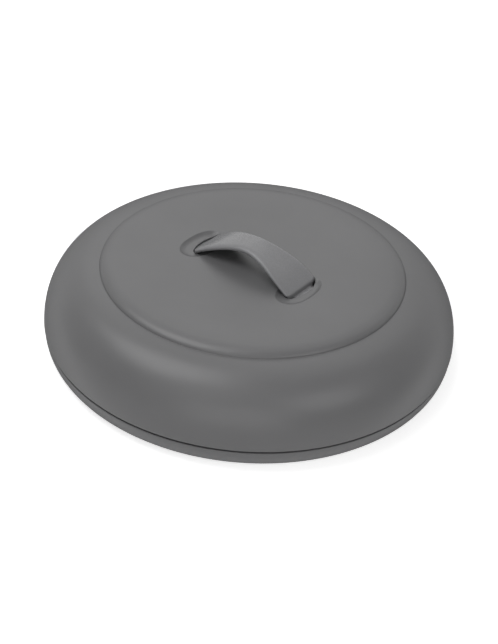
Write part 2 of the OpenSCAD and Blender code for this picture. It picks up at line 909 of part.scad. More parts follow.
module liner_screws() {
    color(steel)
        around(liner_screw_r, every(6, 30))
            translate([0, 0, edge_z])
                screw(6.2, shank_r = 1, head_r = 2.2, head_h = 1);
}

module rim_seal() {
    seal_in = liner_rim_r + 0.2;
    seal_out = outer_r - lid_wall - 0.2;
    lip = 1.4;
    color("#222224")
        rotate_extrude($fn = 180)
            polygon([
                [seal_in, lid_flange_z], [seal_in, land_z + 0.7], [seal_in + 0.5, land_z],
                [seal_in + lip, land_z], [seal_in + lip + 0.4, land_z + 0.9],
                [seal_out - lip - 0.4, land_z + 0.9], [seal_out - lip, land_z],
                [seal_out - 0.5, land_z], [seal_out, land_z + 0.7], [seal_out, lid_flange_z]
            ]);
}

// Stations of the strap's right half from its crown out to the end of its foot:
// [x, z, heading, half width, thickness], where x and z follow the upper face
function strap_half_stations(arch_steps = 14, bend_steps = 5, toe_r = 1) = let (
    fall = arch_fall(strap_reach),
    bend_z = arch_z(strap_reach) - strap_bend * cos(fall),
    toe_z = grip_z + toe_r
) concat(
    [for (i = [0:arch_steps]) let (x = strap_reach * i / arch_steps)
        [
            x,
            arch_z(x),
            i == 0 ? 0 : -arch_fall(x),
            strap_half(x),
            strap_t - (strap_t - tab_t) * pow(i / arch_steps, 2)
        ]],
    [for (i = [1:bend_steps]) let (f = i / bend_steps, a = fall + (90 - fall) * f)
        [
            tab_x - strap_bend * (1 - sin(a)),
            bend_z + strap_bend * cos(a),
            -a,
            strap_half(strap_reach) + (tab_half - strap_half(strap_reach)) * f,
            tab_t
        ]],
    [for (i = [0:3]) let (f = i / 3, a = 90 * (1 - f))
        [
            tab_x + toe_r * (1 - sin(a)),
            toe_z - toe_r * cos(a),
            -a,
            tab_half + (foot_half - tab_half) * f,
            tab_t + (foot_t - tab_t) * f
        ]],
    [[tab_x + toe_r + foot_reach, toe_z - toe_r, 0, foot_half, foot_t]]
);

// Rounded rectangle at one station, as points in space
function strap_ring(s, corner = 1.4, steps = 3) = [
    for (q = [0:3], i = [0:steps])
        let (
            r = min(corner, s[4] / 2 - 0.1),
            a = 90 * (q + i / steps),
            y = (q == 0 || q == 3 ? 1 : -1) * (s[3] - r) + r * cos(a),
            n = (q < 2 ? -r : r - s[4]) + r * sin(a)
        )
        [s[0] - n * sin(s[2]), -y, s[1] + n * cos(s[2])]
];

module handle_strap() {
    right = strap_half_stations();
    left = [for (i = [len(right) - 1:-1:1]) let (s = right[i]) [-s[0], s[1], -s[2], s[3], s[4]]];
    color(strap_grey)
        loft([for (s = concat(left, right)) strap_ring(s)]);
}

// Plate that clamps one foot of the strap against the shell from below
module handle_anchor(side) {
    plate_in = tab_x - 1.5;
    plate_out = tab_x + 11;
    half = 20;
    color(steel)
        mirror([side < 0 ? 1 : 0, 0, 0])
            difference() {
                union() {
                    translate([plate_in, -half, grip_z - foot_t - anchor_t])
                        cube([plate_out - plate_in, 2 * half, anchor_t]);
                    for (end = [-1, 1])
                        translate([anchor_x, end * anchor_y, grip_z - foot_t - 0.5])
                            cylinder(r = 3.2, h = foot_t + 0.5, $fn = 48);
                }
                for (end = [-1, 1])
                    translate([anchor_x, end * anchor_y, grip_z - foot_t - anchor_t - 1])
                        cylinder(r = screw_r + 0.2, h = foot_t + anchor_t + 2, $fn = 32);
            }
}

module anchor_screws() {
    color(steel)
        for (side = [-1, 1], end = [-1, 1])
            translate([side * anchor_x, end * anchor_y, grip_z - foot_t - anchor_t])
                screw(anchor_t + foot_t + 2.5, head_r = 2.8, head_h = 1.5);
}

base_housing();
bottom_cover();
foot(1);  // foot_1
foot(2);  // foot_2
foot(3);  // foot_3
foot(4);  // foot_4
heating_plate();
plate_gasket();
heating_element();
element_clips();
element_screws();
heat_shield();
insulation_pad();
shield_screws();
thermostat();
thermostat_bracket();
bracket_screws();
thermal_fuse();
fuse_clip();
fuse_screw();
plate_screws();
cover_screws();
inlet_carrier();
inlet_pins();
switch_housing();
switch_terminals();
switch_rocker();
wire_live();
wire_switched();
wire_fuse();
wire_thermostat();
wire_neutral();
lid_shell();
lid_liner();
liner_screws();
rim_seal();
handle_strap();
handle_anchor(-1);  // handle_anchor_left
handle_anchor(1);  // handle_anchor_right
anchor_screws();
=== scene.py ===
# %% [markdown]
# This script dresses an electric tortilla warmer: a low round base with a heated plate, and a domed lid
# with a strap handle that lifts straight off. The engineering model comes first, as a frame in which every
# piece has its real place. We keep the pieces whose shape is already right, put finer meshes over the ones
# that a viewer looks at, give every surface its own material, and light the whole on a white table.
# The frame is loaded before anything else, and the boxes of its pieces give the dressed pieces their sizes.

# %% Load the frame
import math

import bmesh
import bpy
from mathutils import Matrix, Vector
from mathutils.geometry import delaunay_2d_cdt


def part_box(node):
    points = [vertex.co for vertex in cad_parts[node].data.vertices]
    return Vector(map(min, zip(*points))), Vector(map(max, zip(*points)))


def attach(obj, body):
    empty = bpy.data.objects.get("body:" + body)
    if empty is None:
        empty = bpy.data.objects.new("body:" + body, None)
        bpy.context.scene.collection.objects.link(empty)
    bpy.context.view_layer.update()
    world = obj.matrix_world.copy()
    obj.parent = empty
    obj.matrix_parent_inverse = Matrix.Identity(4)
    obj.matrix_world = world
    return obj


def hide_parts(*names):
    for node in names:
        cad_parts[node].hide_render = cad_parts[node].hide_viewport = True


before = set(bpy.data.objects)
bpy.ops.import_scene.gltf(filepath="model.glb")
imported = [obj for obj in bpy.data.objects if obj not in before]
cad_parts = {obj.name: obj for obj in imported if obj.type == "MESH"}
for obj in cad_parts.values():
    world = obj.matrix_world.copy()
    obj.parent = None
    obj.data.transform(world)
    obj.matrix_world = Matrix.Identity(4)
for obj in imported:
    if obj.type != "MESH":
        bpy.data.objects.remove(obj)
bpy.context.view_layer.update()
MM = 0.001

# %% [markdown]
# Three small helpers serve the whole lesson. Colours are written as the hex values that a paint chart or an
# image editor shows, and one function turns them to the linear values that the renderer works in. One
# function adds a node to any tree: settings are keyword arguments, and each input is either a plain value
# or the output socket of another node. The third reads a piece's box in millimetres, because that is how
# the parts of an appliance are measured.

# %% Helpers
def linear(hex_colour):
    """The linear colour, with alpha 1, of an sRGB hex value."""
    levels = [int(hex_colour[i:i + 2], 16) / 255 for i in (1, 3, 5)]
    return [v / 12.92 if v <= 0.04045 else ((v + 0.055) / 1.055) ** 2.4 for v in levels] + [1.0]


def add_node(tree, kind, inputs=None, **settings):
    """Adds a node, applies its settings, and sets or links its inputs by name or number."""
    node = tree.nodes.new(kind)
    for name, value in settings.items():
        setattr(node, name, value)
    for key, value in (inputs or {}).items():
        if isinstance(value, bpy.types.NodeSocket):
            tree.links.new(value, node.inputs[key])
        else:
            node.inputs[key].default_value = value
    return node


def box_mm(node):
    """Lowest and highest corner of a CAD node, in millimetres."""
    low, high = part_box(node)
    return low / MM, high / MM


print("mid grey #808080 is linear", round(linear("#808080")[0], 3))

# %% [markdown]
# The camera stands where the photographer stood: to the right of the front, looking down at about 36
# degrees from some 0.8 m, with the picture turned a few degrees. A perspective camera is placed by its
# direction from a point on the lid's axis, then rolled about its own line of sight. The picture is upright,
# so the 36 mm sensor side is its height. The small shift puts the aimed point where the picture has it.

# %% Camera
PICTURE_W = 498
PICTURE_H = 644
SENSOR_MM = 36.0
FOCAL_PX = 1055.8
CAMERA_AZIMUTH = 35.64
CAMERA_ELEVATION = 35.65
CAMERA_ROLL = 4.37
CAMERA_DISTANCE = 0.8094
AIM_HEIGHT = 0.0172
AIM_PX = (249.79, 313.45)


def direction(azimuth, elevation):
    """Unit vector from the object towards that side; azimuth 0 is the front and 90 the right."""
    a, e = math.radians(azimuth), math.radians(elevation)
    return Vector((math.sin(a) * math.cos(e), -math.cos(a) * math.cos(e), math.sin(e)))


scene = bpy.context.scene
camera = bpy.data.objects.new("camera", bpy.data.cameras.new("camera"))
scene.collection.objects.link(camera)
scene.camera = camera
back = direction(CAMERA_AZIMUTH, CAMERA_ELEVATION)
camera.location = Vector((0, 0, AIM_HEIGHT)) + CAMERA_DISTANCE * back
turn = (-back).to_track_quat("-Z", "Y").to_matrix() @ Matrix.Rotation(math.radians(CAMERA_ROLL), 3, "Z")
camera.rotation_euler = turn.to_euler()
camera.data.sensor_width = SENSOR_MM
camera.data.lens = FOCAL_PX * SENSOR_MM / PICTURE_H
camera.data.shift_x = (PICTURE_W / 2 - AIM_PX[0]) / PICTURE_H
camera.data.shift_y = (AIM_PX[1] - PICTURE_H / 2) / PICTURE_H
camera.data.clip_start = 0.01
camera.data.clip_end = 100
print("camera:", round(camera.data.lens, 2), "mm lens at", [round(v, 3) for v in camera.location])

# %% [markdown]
# Small appliances are photographed on a white sweep under large diffusers. A table is a pale disc lit by the
# same lamps as the object, so that it keeps the object's soft shadow; a little glow that only the camera and
# reflections see lifts it to white. The world does the same for the backdrop: it lights softly, and shows as
# plain white. The lamps are wide squares, because a matte shell reads by its slow gradients, which small
# lamps would break up. Their strengths are plain, so that a grey renders about as grey as it is written.

# %% Stage and light
TABLE_R = 4.0
TABLE_GLOW = 0.7
WORLD_LEVEL = 0.05
LAMP_TARGET = Vector((0, 0, 0.04))
# Name, azimuth, elevation, distance in m, side in m, watts
LAMPS = [
    ("lamp_main", -58, 66, 1.4, 0.9, 8.0),
    ("lamp_front", 10, 54, 1.4, 0.9, 1.5),
    ("lamp_low", 32, 8, 1.4, 1.2, 4.8),
    ("lamp_right", 80, 34, 1.4, 0.7, 2.6),
    ("lamp_left", -132, 38, 1.4, 0.9, 1.5),
    ("lamp_rear", -172, 58, 1.4, 0.9, 1.5),
]


def seen_share(tree):
    """1 for rays that show the background to the camera, straight, mirrored or through glass."""
    path = add_node(tree, "ShaderNodeLightPath").outputs
    mirrored = add_node(tree, "ShaderNodeMath", {0: path["Is Glossy Ray"], 1: path["Is Transmission Ray"]},
                        operation="MAXIMUM")
    return add_node(tree, "ShaderNodeMath", {0: path["Is Camera Ray"], 1: mirrored.outputs[0]},
                    operation="MAXIMUM").outputs[0]


def white_world():
    world = bpy.data.worlds.new("white sweep")
    world.use_nodes = True
    tree = world.node_tree
    tree.nodes.clear()
    lit = add_node(tree, "ShaderNodeBackground", {"Color": linear("#ffffff"), "Strength": WORLD_LEVEL})
    shown = add_node(tree, "ShaderNodeBackground", {"Color": linear("#ffffff"), "Strength": 1.0})
    mix = add_node(tree, "ShaderNodeMixShader", {0: seen_share(tree), 1: lit.outputs[0], 2: shown.outputs[0]})
    add_node(tree, "ShaderNodeOutputWorld", {"Surface": mix.outputs[0]})
    scene.world = world


def white_table():
    """Matt white table top under the feet."""
    material = bpy.data.materials.new("matt white table")
    material.use_nodes = True
    tree = material.node_tree
    tree.nodes.clear()
    board = add_node(tree, "ShaderNodeBsdfDiffuse", {"Color": linear("#f4f4f4")})
    level = add_node(tree, "ShaderNodeMath", {0: seen_share(tree), 1: TABLE_GLOW}, operation="MULTIPLY")
    glow = add_node(tree, "ShaderNodeEmission", {"Strength": level.outputs[0]})
    both = add_node(tree, "ShaderNodeAddShader", {0: board.outputs[0], 1: glow.outputs[0]})
    add_node(tree, "ShaderNodeOutputMaterial", {"Surface": both.outputs[0]})
    mesh = bpy.data.meshes.new("table")
    corners = 64
    rim = [(TABLE_R * math.cos(math.tau * i / corners), TABLE_R * math.sin(math.tau * i / corners), 0)
           for i in range(corners)]
    mesh.from_pydata(rim, [], [range(corners)])
    mesh.materials.append(material)
    table = bpy.data.objects.new("table", mesh)
    scene.collection.objects.link(table)


def soft_lamp(name, azimuth, elevation, distance, side, watts):
    data = bpy.data.lights.new(name, "AREA")
    data.shape = "SQUARE"
    data.size = side
    data.energy = watts
    lamp = bpy.data.objects.new(name, data)
    scene.collection.objects.link(lamp)
    away = direction(azimuth, elevation)
    lamp.location = LAMP_TARGET + distance * away
    lamp.rotation_euler = (-away).to_track_quat("-Z", "Y").to_euler()


scene.view_settings.view_transform = "Standard"
white_world()
white_table()
for lamp in LAMPS:
    soft_lamp(*lamp)
print("stage: table and", len(LAMPS), "lamps,", sum(lamp[-1] for lamp in LAMPS), "W")

# %% [markdown]
# Materials come next, because each piece takes one as it is made. A material here is the real stuff and the
# way its surface was made, never a flat colour. All patterns read Object coordinates, which are metres on
# the piece itself, so a pattern's scale is one divided by a real size. The first helper makes the shader and
# hands back the tree and the place to read; the second turns a height into relief, given in millimetres.

# %% Material helpers
def start_material(name, **constants):
    """Material with a Principled shader; returns it, its tree, the shader and the Object coordinates."""
    material = bpy.data.materials.new(name)
    material.use_nodes = True
    tree = material.node_tree
    tree.nodes.clear()
    labels = {"Base_Color": "Base Color", "Coat_Weight": "Coat Weight", "Coat_Roughness": "Coat Roughness",
              "Sheen_Weight": "Sheen Weight", "Sheen_Roughness": "Sheen Roughness",
              "Specular_IOR_Level": "Specular IOR Level"}
    shader = add_node(tree, "ShaderNodeBsdfPrincipled", {labels.get(k, k): v for k, v in constants.items()})
    add_node(tree, "ShaderNodeOutputMaterial", {"Surface": shader.outputs[0]})
    place = add_node(tree, "ShaderNodeTexCoord").outputs["Object"]
    return material, tree, shader, place


def relief(tree, shader, height, depth_mm):
    """Raises the surface by the height times the depth."""
    bump = add_node(tree, "ShaderNodeBump", {"Height": height, "Strength": 1.0, "Distance": depth_mm * MM})
    tree.links.new(bump.outputs[0], shader.inputs["Normal"])


def blend_colours(tree, share, first, second):
    """Colour between two hex values, by a share from 0 to 1."""
    mix = add_node(tree, "ShaderNodeMix", {0: share, 6: linear(first), 7: linear(second)}, data_type="RGBA")
    return mix.outputs[2]


def spread(tree, value, low, high):
    """Maps a noise that stays near 0.5 to the range from low to high."""
    return add_node(tree, "ShaderNodeMapRange", {"Value": value, "From Min": 0.3, "From Max": 0.7,
                                                 "To Min": low, "To Max": high}).outputs[0]


print("material helpers ready")

# %% [markdown]
# Moulded ABS and polypropylene: the mould's cavity is spark-eroded, which leaves a fine even grain on the
# shell, so it is matte, with wide soft highlights and no mirror image. The real grain is about 0.1 mm, too
# fine to show from here, so it is drawn at about half a millimetre. Where the plastic flowed thick or thin
# it cools a shade lighter or darker, which is the faint cloud in the colour.

# %% Moulded plastics
GLANCING_DULL = 0.5


def moulded_plastic(name, light, dark, roughness, grain_mm=0.55, depth_mm=0.012, cloud_mm=70, shine=0.5):
    """Grained moulding; light and dark are the ends of its faint cloud."""
    material, tree, shader, place = start_material(name, IOR=1.49, Specular_IOR_Level=shine)
    grain = add_node(tree, "ShaderNodeTexNoise", {"Vector": place, "Scale": 1 / (grain_mm * MM),
                                                  "Detail": 2.0, "Roughness": 0.6})
    cloud = add_node(tree, "ShaderNodeTexNoise", {"Vector": place, "Scale": 1 / (cloud_mm * MM),
                                                  "Detail": 3.0, "Roughness": 0.55})
    share = spread(tree, cloud.outputs[0], 0.0, 1.0)
    tree.links.new(blend_colours(tree, share, dark, light), shader.inputs["Base Color"])
    grained = spread(tree, grain.outputs[0], roughness - 0.05, roughness + 0.05)
    facing = add_node(tree, "ShaderNodeLayerWeight", {"Blend": 0.5}).outputs["Facing"]
    duller = add_node(tree, "ShaderNodeMapRange", {"Value": facing, "From Min": 0.45, "From Max": 0.85,
                                                   "To Max": GLANCING_DULL})
    total = add_node(tree, "ShaderNodeMath", {0: grained, 1: duller.outputs[0]})
    tree.links.new(total.outputs[0], shader.inputs["Roughness"])
    relief(tree, shader, grain.outputs[0], depth_mm)
    return material


shell_abs = moulded_plastic("moulded grey ABS, spark-eroded grain", "#6c6c6d", "#676768", 0.36, shine=0.5)
cover_pp = moulded_plastic("moulded dark grey polypropylene", "#58585a", "#525254", 0.6)
black_nylon = moulded_plastic("moulded black nylon, glass filled", "#1d1d1f", "#161617", 0.48, 0.4)
print("moulded:", shell_abs.name, "/", cover_pp.name, "/", black_nylon.name)

# %% [markdown]
# Elastomers: the strap is silicone moulded over a spring strip, with a dry, slightly velvety skin that is
# lighter than the shell; the seal, gasket and feet are plain silicone and nitrile rubber. A weak sheen gives
# the skin its soft edge, and the grain is shallower than on the hard plastic.

# %% Rubber and silicone
def elastomer(name, light, dark, roughness, sheen=0.0, grain_mm=0.45, depth_mm=0.008):
    """Moulded rubber with a fine dry skin."""
    material, tree, shader, place = start_material(name, IOR=1.43, Sheen_Weight=sheen, Sheen_Roughness=0.45)
    grain = add_node(tree, "ShaderNodeTexNoise", {"Vector": place, "Scale": 1 / (grain_mm * MM),
                                                  "Detail": 2.0, "Roughness": 0.5})
    cloud = add_node(tree, "ShaderNodeTexNoise", {"Vector": place, "Scale": 1 / (25 * MM), "Detail": 2.0})
    share = spread(tree, cloud.outputs[0], 0.0, 1.0)
    tree.links.new(blend_colours(tree, share, dark, light), shader.inputs["Base Color"])
    tree.links.new(spread(tree, grain.outputs[0], roughness - 0.04, roughness + 0.04),
                   shader.inputs["Roughness"])
    relief(tree, shader, grain.outputs[0], depth_mm)
    return material


strap_silicone = elastomer("moulded grey silicone, soft touch", "#8a8a8c", "#858587", 0.27, sheen=0.05)
seal_silicone = elastomer("extruded black silicone", "#1e1e20", "#19191b", 0.6)
foot_rubber = elastomer("moulded black nitrile rubber", "#232325", "#1b1b1d", 0.7)
gasket_silicone = elastomer("die-cut red silicone", "#8c4034", "#81382e", 0.6)
print("rubbers:", strap_silicone.name, "/", seal_silicone.name, "/", foot_rubber.name)

# %% [markdown]
# Metals: spun aluminium for the lid's liner, whose tool leaves fine rings round the axis; rolled steel for
# the shield, clips and sheath; zinc plated screws; and brass contacts. A metal's colour is in its
# reflection, so metallic is 1 and the base colour is bright. The rings depend only on the distance from the
# axis, so the noise reads that one number; rolled sheet has its lines along one direction, so the
# coordinates are stretched before the noise reads them.

# %% Metals
def ringed_metal(name, colour, shade, roughness, ring_mm, depth_mm):
    """Spun metal, with tool rings about the Z axis."""
    material, tree, shader, place = start_material(name, Metallic=1.0)
    flat = add_node(tree, "ShaderNodeVectorMath", {0: place, 1: (1, 1, 0)}, operation="MULTIPLY")
    radius = add_node(tree, "ShaderNodeVectorMath", {0: flat.outputs[0]}, operation="LENGTH")
    rings = add_node(tree, "ShaderNodeTexNoise", {"W": radius.outputs["Value"], "Scale": 1 / (ring_mm * MM),
                                                  "Detail": 4.0, "Roughness": 0.7}, noise_dimensions="1D")
    share = spread(tree, rings.outputs[0], 0.0, 1.0)
    tree.links.new(blend_colours(tree, share, shade, colour), shader.inputs["Base Color"])
    tree.links.new(spread(tree, rings.outputs[0], roughness - 0.06, roughness + 0.08),
                   shader.inputs["Roughness"])
    relief(tree, shader, rings.outputs[0], depth_mm)
    return material


def rolled_metal(name, colour, shade, roughness, line_mm=0.25, stretch=12.0, depth_mm=0.004):
    """Rolled or drawn metal, with fine lines along X and a little unevenness."""
    material, tree, shader, place = start_material(name, Metallic=1.0)
    drawn = add_node(tree, "ShaderNodeMapping", {"Vector": place, "Scale": (1 / stretch, 1, 1)})
    lines = add_node(tree, "ShaderNodeTexNoise", {"Vector": drawn.outputs[0], "Scale": 1 / (line_mm * MM),
                                                  "Detail": 3.0})
    share = spread(tree, lines.outputs[0], 0.0, 1.0)
    tree.links.new(blend_colours(tree, share, shade, colour), shader.inputs["Base Color"])
    tree.links.new(spread(tree, lines.outputs[0], roughness - 0.06, roughness + 0.08),
                   shader.inputs["Roughness"])
    relief(tree, shader, lines.outputs[0], depth_mm)
    return material


liner_aluminium = ringed_metal("spun aluminium, satin", "#d0d1d3", "#bfc0c3", 0.34, 0.5, 0.006)
shield_steel = rolled_metal("aluminised steel sheet", "#bfc0c0", "#a9aaaa", 0.42)
spring_steel = rolled_metal("rolled stainless strip", "#b9b8b4", "#a6a5a1", 0.32)
sheath_steel = rolled_metal("drawn steel sheath, heat tinted", "#9c9386", "#857a6d", 0.45, 0.35, 4.0)
zinc_plate = rolled_metal("zinc plated steel", "#c3c6ca", "#a9adb2", 0.28, 0.3, 2.0)
brass = rolled_metal("bright brass", "#d8b96a", "#c8a656", 0.22, 0.3, 6.0)
print("metals:", liner_aluminium.name, "/", shield_steel.name, "/", zinc_plate.name, "/", brass.name)

# %% [markdown]
# Cooking surface: cast aluminium with a sprayed and baked non-stick coat. The coat is charcoal, satin, with
# the faint orange peel of spray and pale flecks of filler. Flecks are the cells of a Voronoi texture whose
# random value is high, kept small by their distance to the cell's middle.

# %% Non-stick coat, fibre, ceramic and leads
def nonstick_coat(name, colour, fleck, peel_mm=2.2, fleck_mm=1.6):
    material, tree, shader, place = start_material(name, IOR=1.38, Coat_Weight=0.15, Coat_Roughness=0.25)
    peel = add_node(tree, "ShaderNodeTexNoise", {"Vector": place, "Scale": 1 / (peel_mm * MM), "Detail": 2.0})
    cells = add_node(tree, "ShaderNodeTexVoronoi", {"Vector": place, "Scale": 1 / (fleck_mm * MM)})
    near = add_node(tree, "ShaderNodeMath", {0: cells.outputs["Distance"], 1: 0.16}, operation="LESS_THAN")
    pick = add_node(tree, "ShaderNodeSeparateColor", {0: cells.outputs["Color"]})
    some = add_node(tree, "ShaderNodeMath", {0: pick.outputs[0], 1: 0.62}, operation="GREATER_THAN")
    share = add_node(tree, "ShaderNodeMath", {0: near.outputs[0], 1: some.outputs[0]}, operation="MULTIPLY")
    tree.links.new(blend_colours(tree, share.outputs[0], colour, fleck), shader.inputs["Base Color"])
    tree.links.new(spread(tree, peel.outputs[0], 0.36, 0.46), shader.inputs["Roughness"])
    relief(tree, shader, peel.outputs[0], 0.02)
    return material


def needled_fibre(name, colour, shade, fibre_mm=0.8):
    """Felt of short ceramic fibres, matted in all directions."""
    material, tree, shader, place = start_material(name, IOR=1.45, Roughness=0.95, Sheen_Weight=0.2)
    mat = add_node(tree, "ShaderNodeTexNoise", {"Vector": place, "Scale": 1 / (fibre_mm * MM), "Detail": 6.0,
                                                "Roughness": 0.75, "Distortion": 1.5})
    share = spread(tree, mat.outputs[0], 0.0, 1.0)
    tree.links.new(blend_colours(tree, share, shade, colour), shader.inputs["Base Color"])
    relief(tree, shader, mat.outputs[0], 0.25)
    return material


plate_coat = nonstick_coat("cast aluminium, sprayed non-stick coat", "#2b2b2d", "#4c4b49")
fibre_felt = needled_fibre("needled ceramic fibre", "#e9e4d6", "#cfc8b6")
fuse_ceramic = moulded_plastic("pressed steatite ceramic", "#ded8ca", "#d2cbbb", 0.5, 0.4)
lead_brown = elastomer("silicone lead, brown", "#6b4226", "#5f3a20", 0.45)
lead_white = elastomer("silicone lead, white", "#dedbd2", "#d2cfc6", 0.45)
lead_blue = elastomer("silicone lead, blue", "#2c5a94", "#264f84", 0.45)
rocker_abs = moulded_plastic("moulded black ABS, satin", "#141416", "#101011", 0.3, 0.4, 0.003)
print("coat, felt, ceramic and leads ready")

# %% [markdown]
# Most of this object is turned about one axis: the lid, the base band, the seal, the liner, the plate and
# the feet. On the real parts that comes from a turned mould or a spinning lathe, so here one Geometry Nodes
# tree does it for all of them. It takes an outline, a chain of points given as radius and height, and lays
# a grid of columns by outline points. Each grid point looks up its outline point and is turned about Z by
# its column's share of the circle. Merging by distance closes the seam and the poles.

# %% Geometry Nodes tree that turns an outline
TURN_SEGMENTS = 288
WELD = 1e-6


def start_tree(name, inputs):
    """Empty tree with those named inputs and a Geometry output; returns it and its input sockets."""
    tree = bpy.data.node_groups.new(name, "GeometryNodeTree")
    for label, kind in inputs.items():
        tree.interface.new_socket(label, in_out="INPUT", socket_type=kind)
    tree.interface.new_socket("Geometry", in_out="OUTPUT", socket_type="NodeSocketGeometry")
    return tree, add_node(tree, "NodeGroupInput").outputs


def end_tree(tree, geometry, material):
    """Every tree ends by making instances real and setting the material."""
    real = add_node(tree, "GeometryNodeRealizeInstances", {0: geometry})
    painted = add_node(tree, "GeometryNodeSetMaterial", {"Geometry": real.outputs[0], "Material": material})
    add_node(tree, "NodeGroupOutput", {"Geometry": painted.outputs[0]})
    return tree


def turning_tree():
    tree, given = start_tree("turn an outline about Z", {
        "Outline": "NodeSocketObject", "Segments": "NodeSocketInt", "Material": "NodeSocketMaterial"})
    outline = add_node(tree, "GeometryNodeObjectInfo", {"Object": given["Outline"]}).outputs["Geometry"]
    rows = add_node(tree, "GeometryNodeAttributeDomainSize", {0: outline}, component="MESH").outputs[0]
    columns = add_node(tree, "ShaderNodeMath", {0: given["Segments"], 1: 1.0}).outputs[0]
    grid = add_node(tree, "GeometryNodeMeshGrid", {"Vertices X": columns, "Vertices Y": rows}).outputs[0]
    index = add_node(tree, "GeometryNodeInputIndex").outputs[0]
    row = add_node(tree, "ShaderNodeMath", {0: index, 1: rows}, operation="MODULO").outputs[0]
    share = add_node(tree, "ShaderNodeMath", {0: index, 1: rows}, operation="DIVIDE").outputs[0]
    column = add_node(tree, "ShaderNodeMath", {0: share}, operation="FLOOR").outputs[0]
    step = add_node(tree, "ShaderNodeMath", {0: math.tau, 1: given["Segments"]}, operation="DIVIDE")
    angle = add_node(tree, "ShaderNodeMath", {0: column, 1: step.outputs[0]}, operation="MULTIPLY")
    position = add_node(tree, "GeometryNodeInputPosition").outputs[0]
    drawn = add_node(tree, "GeometryNodeSampleIndex", {"Geometry": outline, "Value": position, "Index": row},
                     data_type="FLOAT_VECTOR")
    turned = add_node(tree, "ShaderNodeVectorRotate", {"Vector": drawn.outputs[0], "Angle": angle.outputs[0]},
                      rotation_type="Z_AXIS")
    placed = add_node(tree, "GeometryNodeSetPosition", {"Geometry": grid, "Position": turned.outputs[0]})
    welded = add_node(tree, "GeometryNodeMergeByDistance", {"Geometry": placed.outputs[0], "Distance": WELD})
    return end_tree(tree, welded.outputs[0], given["Material"])


TURNING = turning_tree()
print("tree:", TURNING.name, "with", len(TURNING.nodes), "nodes")

# %% [markdown]
# A second tree sets copies of one piece round a circle, for screws and feet. A mesh circle gives one point
# for each copy, each copy is turned to face outwards, and the whole is turned to its first angle.

# %% Geometry Nodes tree that sets copies round a circle
def circle_tree():
    tree, given = start_tree("copies round a circle", {
        "Item": "NodeSocketObject", "Count": "NodeSocketInt", "Radius": "NodeSocketFloat",
        "First angle": "NodeSocketFloat", "Material": "NodeSocketMaterial"})
    item = add_node(tree, "GeometryNodeObjectInfo", {"Object": given["Item"]}).outputs["Geometry"]
    circle = add_node(tree, "GeometryNodeMeshCircle", {"Vertices": given["Count"], "Radius": given["Radius"]})
    index = add_node(tree, "GeometryNodeInputIndex").outputs[0]
    step = add_node(tree, "ShaderNodeMath", {0: math.tau, 1: given["Count"]}, operation="DIVIDE")
    angle = add_node(tree, "ShaderNodeMath", {0: index, 1: step.outputs[0]}, operation="MULTIPLY")
    spin = add_node(tree, "ShaderNodeCombineXYZ", {"Z": angle.outputs[0]})
    facing = add_node(tree, "FunctionNodeEulerToRotation", {0: spin.outputs[0]})
    copies = add_node(tree, "GeometryNodeInstanceOnPoints", {
        "Points": circle.outputs[0], "Instance": item, "Rotation": facing.outputs[0]})
    first = add_node(tree, "ShaderNodeCombineXYZ", {"Z": given["First angle"]})
    ring = add_node(tree, "GeometryNodeTransform", {"Geometry": copies.outputs[0], "Rotation": first.outputs[0]})
    return end_tree(tree, ring.outputs[0], given["Material"])


CIRCLE = circle_tree()
print("tree:", CIRCLE.name, "with", len(CIRCLE.nodes), "nodes")

# %% [markdown]
# A tree's result is a live modifier until it is turned to a plain mesh. This helper sets the inputs by their
# identifiers, evaluates once, and keeps only the mesh. Then the normals are made to point outwards, and the
# shading is smooth except across edges sharper than an angle, which keeps moulded corners crisp.

# %% From tree to plain mesh
SHARP_DEGREES = 38


def link(name, mesh):
    obj = bpy.data.objects.new(name, mesh)
    scene.collection.objects.link(obj)
    return obj


def plain_mesh(obj, material=None):
    """Applies every modifier, and makes the normals and the shading right."""
    depsgraph = bpy.context.evaluated_depsgraph_get()
    mesh = bpy.data.meshes.new_from_object(obj.evaluated_get(depsgraph))
    obj.modifiers.clear()
    obj.data = mesh
    work = bmesh.new()
    work.from_mesh(mesh)
    bmesh.ops.remove_doubles(work, verts=work.verts, dist=WELD)
    bmesh.ops.recalc_face_normals(work, faces=work.faces)
    work.to_mesh(mesh)
    work.free()
    mesh.shade_smooth()
    mesh.set_sharp_from_angle(angle=math.radians(SHARP_DEGREES))
    if material:
        mesh.materials.clear()
        mesh.materials.append(material)
    return obj


def grow(name, tree, **values):
    """Object made by a tree whose inputs have these values, as a plain mesh."""
    obj = link(name, bpy.data.meshes.new(name))
    modifier = obj.modifiers.new("shape", "NODES")
    modifier.node_group = tree
    sockets = {item.name.replace(" ", "_"): item.identifier for item in tree.interface.items_tree
               if item.item_type == "SOCKET" and item.in_out == "INPUT"}
    for label, value in values.items():
        modifier[sockets[label]] = value
    return plain_mesh(obj)


def turned(name, outline, material, segments=TURN_SEGMENTS):
    """Solid of revolution from an outline of (radius, height) points in millimetres."""
    mesh = bpy.data.meshes.new("outline")
    chain = [(i, i + 1) for i in range(len(outline) - 1)]
    mesh.from_pydata([(r * MM, 0, z * MM) for r, z in outline], chain, [])
    drawing = link("outline", mesh)
    obj = grow(name, TURNING, Outline=drawing, Segments=segments, Material=material)
    bpy.data.objects.remove(drawing)
    return obj


def set_round(name, item, count, radius_mm, first_degrees, material):
    """Copies of item round the axis; item itself is used up."""
    obj = grow(name, CIRCLE, Item=item, Count=count, Radius=radius_mm * MM,
               First_angle=math.radians(first_degrees), Material=material)
    bpy.data.objects.remove(item)
    return obj


print("plain meshes shade sharp above", SHARP_DEGREES, "degrees")

# %% [markdown]
# Outlines are drawn like a turner's drawing: quarter superellipses for the swelling forms, and short arcs
# where a corner is eased. rounded() takes corners with a radius each and replaces them by arcs, so that an
# edge catches the light as a moulded one does.

